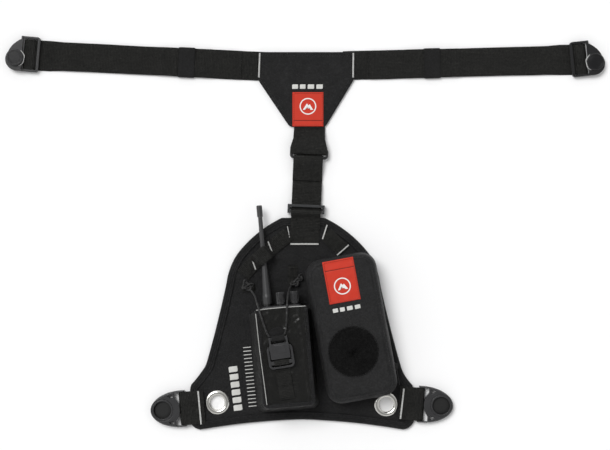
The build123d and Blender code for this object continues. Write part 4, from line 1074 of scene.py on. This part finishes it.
def pouch():
    lid = Heap()
    side = pouch_skin([
        (1.6, 24.2), (0.3, 24.0), (-0.3, 24.8), (-0.5, 27.0), (-0.1, 30.0), (0.9, 33.0), (2.1, 35.4)], 0.35)
    top = []
    for inset, dip in ((3.6, -1.1), (5.0, -0.35), (6.4, -0.25), (7.2, -0.55), (7.9, -0.5), (8.7, -0.15), (11.0, 0.0),
                       (14, 0), (18, 0), (22, 0), (26, 0), (30, 0), (34, 0), (38, 0), (42, 0), (45, 0), (47.45, 0)):
        plan = pouch_outline(inset)
        top.append(np.column_stack([plan, lid_height(plan[:, 0], plan[:, 1]) + dip]))
    under = [at_height(pouch_outline(i), z) for i, z in (
        (47.45, 35.0), (30, 35.0), (9.0, 35.0), (6.9, 33.5), (6.7, 24.6))]
    rings = np.array(side + top + under)
    uv = skin_uv(rings)
    flat = slice(len(side), len(side) + len(top))
    uv[flat] = rings[flat][..., :2]
    lid.put(POUCH.out(rings), uv, along=True)
    cover = lid.piece("pouch_lid_cloth", POUCH_CLOTH, "pouch_cloth", "pouch_lid", ["pouch_lid"])

    base = Heap()
    outer = pouch_skin([(47.45, 6.25), (20.0, 6.2), (6.0, 6.2), (4.4, 6.5), (3.6, 8.5), (2.2, 12.0), (0.9, 15.5),
                        (0.2, 18.4), (0.4, 19.0), (1.6, 18.9)], 0.3)
    inner = [at_height(pouch_outline(i), z) for i, z in (
        (5.6, 17.0), (6.4, 10.0), (7.4, 8.6), (20.0, 8.4), (47.45, 8.4))]
    rings = np.array(outer + inner)
    base.put(POUCH.out(rings), skin_uv(rings), along=True)
    body = base.piece("pouch_base_cloth", POUCH_CLOTH, "pack_cloth", "harness", ["pouch_base"])

    loop = pouch_outline(-0.1)
    keep = np.abs(np.arctan2(loop[:, 0], -loop[:, 1])) > 0.29
    for height, rider in ((19.4, "harness"), (23.7, "pouch_lid")):
        piping = Heap()
        tube(piping, POUCH.out(at_height(loop, height)), 0.75, 8, closed=True)
        piping.piece("pouch_piping_" + rider, TAPE, "binding_tape", rider)

    run = loop[keep]
    start = np.argmax(np.linalg.norm(np.diff(np.vstack([run, run[:1]]), axis=0), axis=1)) + 1
    run = np.roll(run, -start, 0)
    halves = ((19.1, 21.05, "harness", "zip_half_base"), (23.8, 21.95, "pouch_lid", "zip_half_lid"))
    for low, coil_z, rider, node in halves:
        tape = Heap()
        rows = []
        for inset, z in ((1.9, low), (0.9, low), (0.85, coil_z), (1.9, coil_z)):
            plan = run * (1 - inset / np.maximum(np.linalg.norm(run, axis=1, keepdims=True), 1))
            rows.append(at_height(plan, z))
        tape.put(POUCH.out(np.array(rows).transpose(1, 0, 2)), uv_grid(np.arange(4) * 2.0, np.arange(len(run)) * 1.1),
                 caps=True)
        tape.piece("zip_tape_" + rider, ZIP_TAPE, "zip_tape", rider, [node])
        coil = Heap()
        line = soften(resample(run, COIL_STEP), 3)
        outward = right_of(line)
        if np.mean(np.sum(outward * line, 1)) < 0:
            outward = -outward
        phase = 2 * math.pi * np.arange(len(line)) * COIL_STEP / COIL_PITCH
        wind = line + outward * (0.15 + 0.75 * np.cos(phase))[:, None]
        tube(coil, POUCH.out(np.column_stack([wind, coil_z + 0.42 * np.sin(phase)])), 0.30, 5)
        coil.piece("zip_coil_" + rider, ZIP_NYLON, "zip_tape", rider)

    hinge = Heap()
    x = np.linspace(-27.5, 27.5, 40)
    rows = []
    for out_by, z in ((0.5, 18.6), (-0.35, 19.6), (-0.8, 21.5), (-0.35, 23.4), (0.5, 24.4), (1.5, 24.2), (0.8, 21.5),
                      (1.5, 18.8)):
        rows.append(np.column_stack([x, np.full(40, -POUCH_LENGTH / 2 + out_by), np.full(40, z)]))
    rings = np.array(rows).transpose(1, 0, 2)
    hinge.put(POUCH.out(rings), uv_grid(np.arange(8) * 1.5, x), caps=True)
    strip = hinge.piece("pouch_hinge_cloth", TAPE, "binding_tape", None, ["pouch_hinge"])
    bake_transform(strip)

    rows = Heap()
    plan = pouch_outline(5.6)
    stitches(rows, POUCH.out(np.column_stack([plan, lid_height(*plan.T) - 0.15])), closed=True, radius=0.2)
    turns = np.linspace(0, 2 * math.pi, 160, endpoint=False)
    circle = np.column_stack([PATCH_X + 33.0 * np.cos(turns), PATCH_Y + 33.0 * np.sin(turns)])
    stitches(rows, POUCH.out(np.column_stack([circle, lid_height(*circle.T) + 1.25])), radius=0.2, closed=True)
    rows.piece("pouch_stitches", BLACK_THREAD, "pouch_cloth", "pouch_lid")

    patch = Heap()
    dice = np.random.default_rng(5)
    radii = np.concatenate([[PATCH_RADIUS, PATCH_RADIUS], np.linspace(33.6, 0.4, 46)])
    angles = np.linspace(0, 2 * math.pi, 260, endpoint=False)
    r, a = np.meshgrid(radii, angles, indexing="ij")
    x, y = PATCH_X + r * np.cos(a), PATCH_Y + r * np.sin(a)
    pile = 0.95 + 0.30 * dice.standard_normal(r.shape).clip(-1.6, 1.8) * np.clip((PATCH_RADIUS - r) / 2.0, 0, 1)
    pile[0] = -0.2
    pile[1] = 0.5
    pile[-1] = 0.95
    z = lid_height(x, y) + pile
    patch.put(POUCH.out(np.dstack([x, y, z])), np.dstack([x, y]))
    patch.piece("loop_patch_pile", LOOP_PILE, "loop_fabric", "pouch_lid", ["loop_patch"], sharp=180)


# ---------------------------------------------------------------- build it
elastic_cords()
chest_panel()
printed_marks()
panel_webbing()
white_stitching()
yoke()
shoulder_straps()
center_webbing()
pocket()
hold_down_parts()
pouch()
YOKE_TAG_AT = (4.4, 169.2)
POUCH_TAG_AT = (-1.8, 65.4)
POUCH_TAG = Frame(*POUCH.out([[*POUCH_TAG_AT, 0.0]])[0][:2], 10.5)


def yoke_tag_surface(x, y):
    """The yoke's face under its label."""
    return 4.1 + yoke_unevenness(x + YOKE_TAG_AT[0], y + YOKE_TAG_AT[1])


def yoke_print_surface(x, y):
    """The yoke's face under its printed blocks."""
    return 4.02 + yoke_unevenness(x, y) + 0.07 * ripple(x, y, 11, 32)


def pouch_tag_surface(x, y):
    """The lid's face under the pouch's label, sinking towards the lid's rounded edge."""
    return lid_height(x + POUCH_TAG_AT[0], y + POUCH_TAG_AT[1]) + 0.1


label("yoke_label", Frame(*YOKE_TAG_AT, 0), 42.0, 46.5, yoke_tag_surface, "harness", ["yoke_tag"], -15.5, 4.0)
printed_blocks("yoke_print", WORLD, (3.8, 200.0), 42.0, 6.4, yoke_print_surface, "harness", "pack_cloth")
label("pouch_label", POUCH_TAG, 42.0, 57.5, pouch_tag_surface, "pouch_lid", ["pouch_tag"], 15.8, -7.2)
printed_blocks("pouch_print", POUCH, (-1.6, 27.5), 38.0, 6.0, lambda x, y: lid_height(x, y) + 0.03, "pouch_lid",
               "pouch_cloth")

# ---------------------------------------------------------------- floor and light
floor_mesh = bpy.data.meshes.new("floor")
floor_mesh.from_pydata([(-3, -3, 0), (3, -3, 0), (3, 3, 0), (-3, 3, 0)], [], [(0, 1, 2, 3)])
floor = bpy.data.objects.new("floor", floor_mesh)
bpy.context.scene.collection.objects.link(floor)
paper, paper_tree, paper_shader = new_material("floor_paper")
paper_shader.inputs["Base Color"].default_value = (0.93, 0.93, 0.932, 1)
paper_shader.inputs["Roughness"].default_value = 0.9
floor_mesh.materials.append(paper)

world = bpy.data.worlds.new("studio")
world.use_nodes = True
sky = world.node_tree
way = sky.nodes.new("ShaderNodeTexCoord").outputs["Generated"]
split = sky.nodes.new("ShaderNodeSeparateXYZ")
sky.links.new(way, split.inputs[0])
height = maths(sky, "MAXIMUM", split.outputs[2], 0.0)
glow = maths(sky, "SUBTRACT", 1.0, maths(sky, "MULTIPLY", maths(sky, "POWER", height, 1.5), 0.78))
sky.links.new(glow, sky.nodes["Background"].inputs["Strength"])
sky.nodes["Background"].inputs["Color"].default_value = (1, 1, 1, 1)
bpy.context.scene.world = world

sun_data = bpy.data.lights.new("sun", "SUN")
sun_data.energy = 2.1
sun_data.angle = math.radians(34)
sun = bpy.data.objects.new("sun", sun_data)
sun.rotation_euler = Vector((0.45, -0.5, -1.0)).to_track_quat("-Z", "Y").to_euler()
bpy.context.scene.collection.objects.link(sun)
bpy.context.scene.view_settings.view_transform = "Standard"
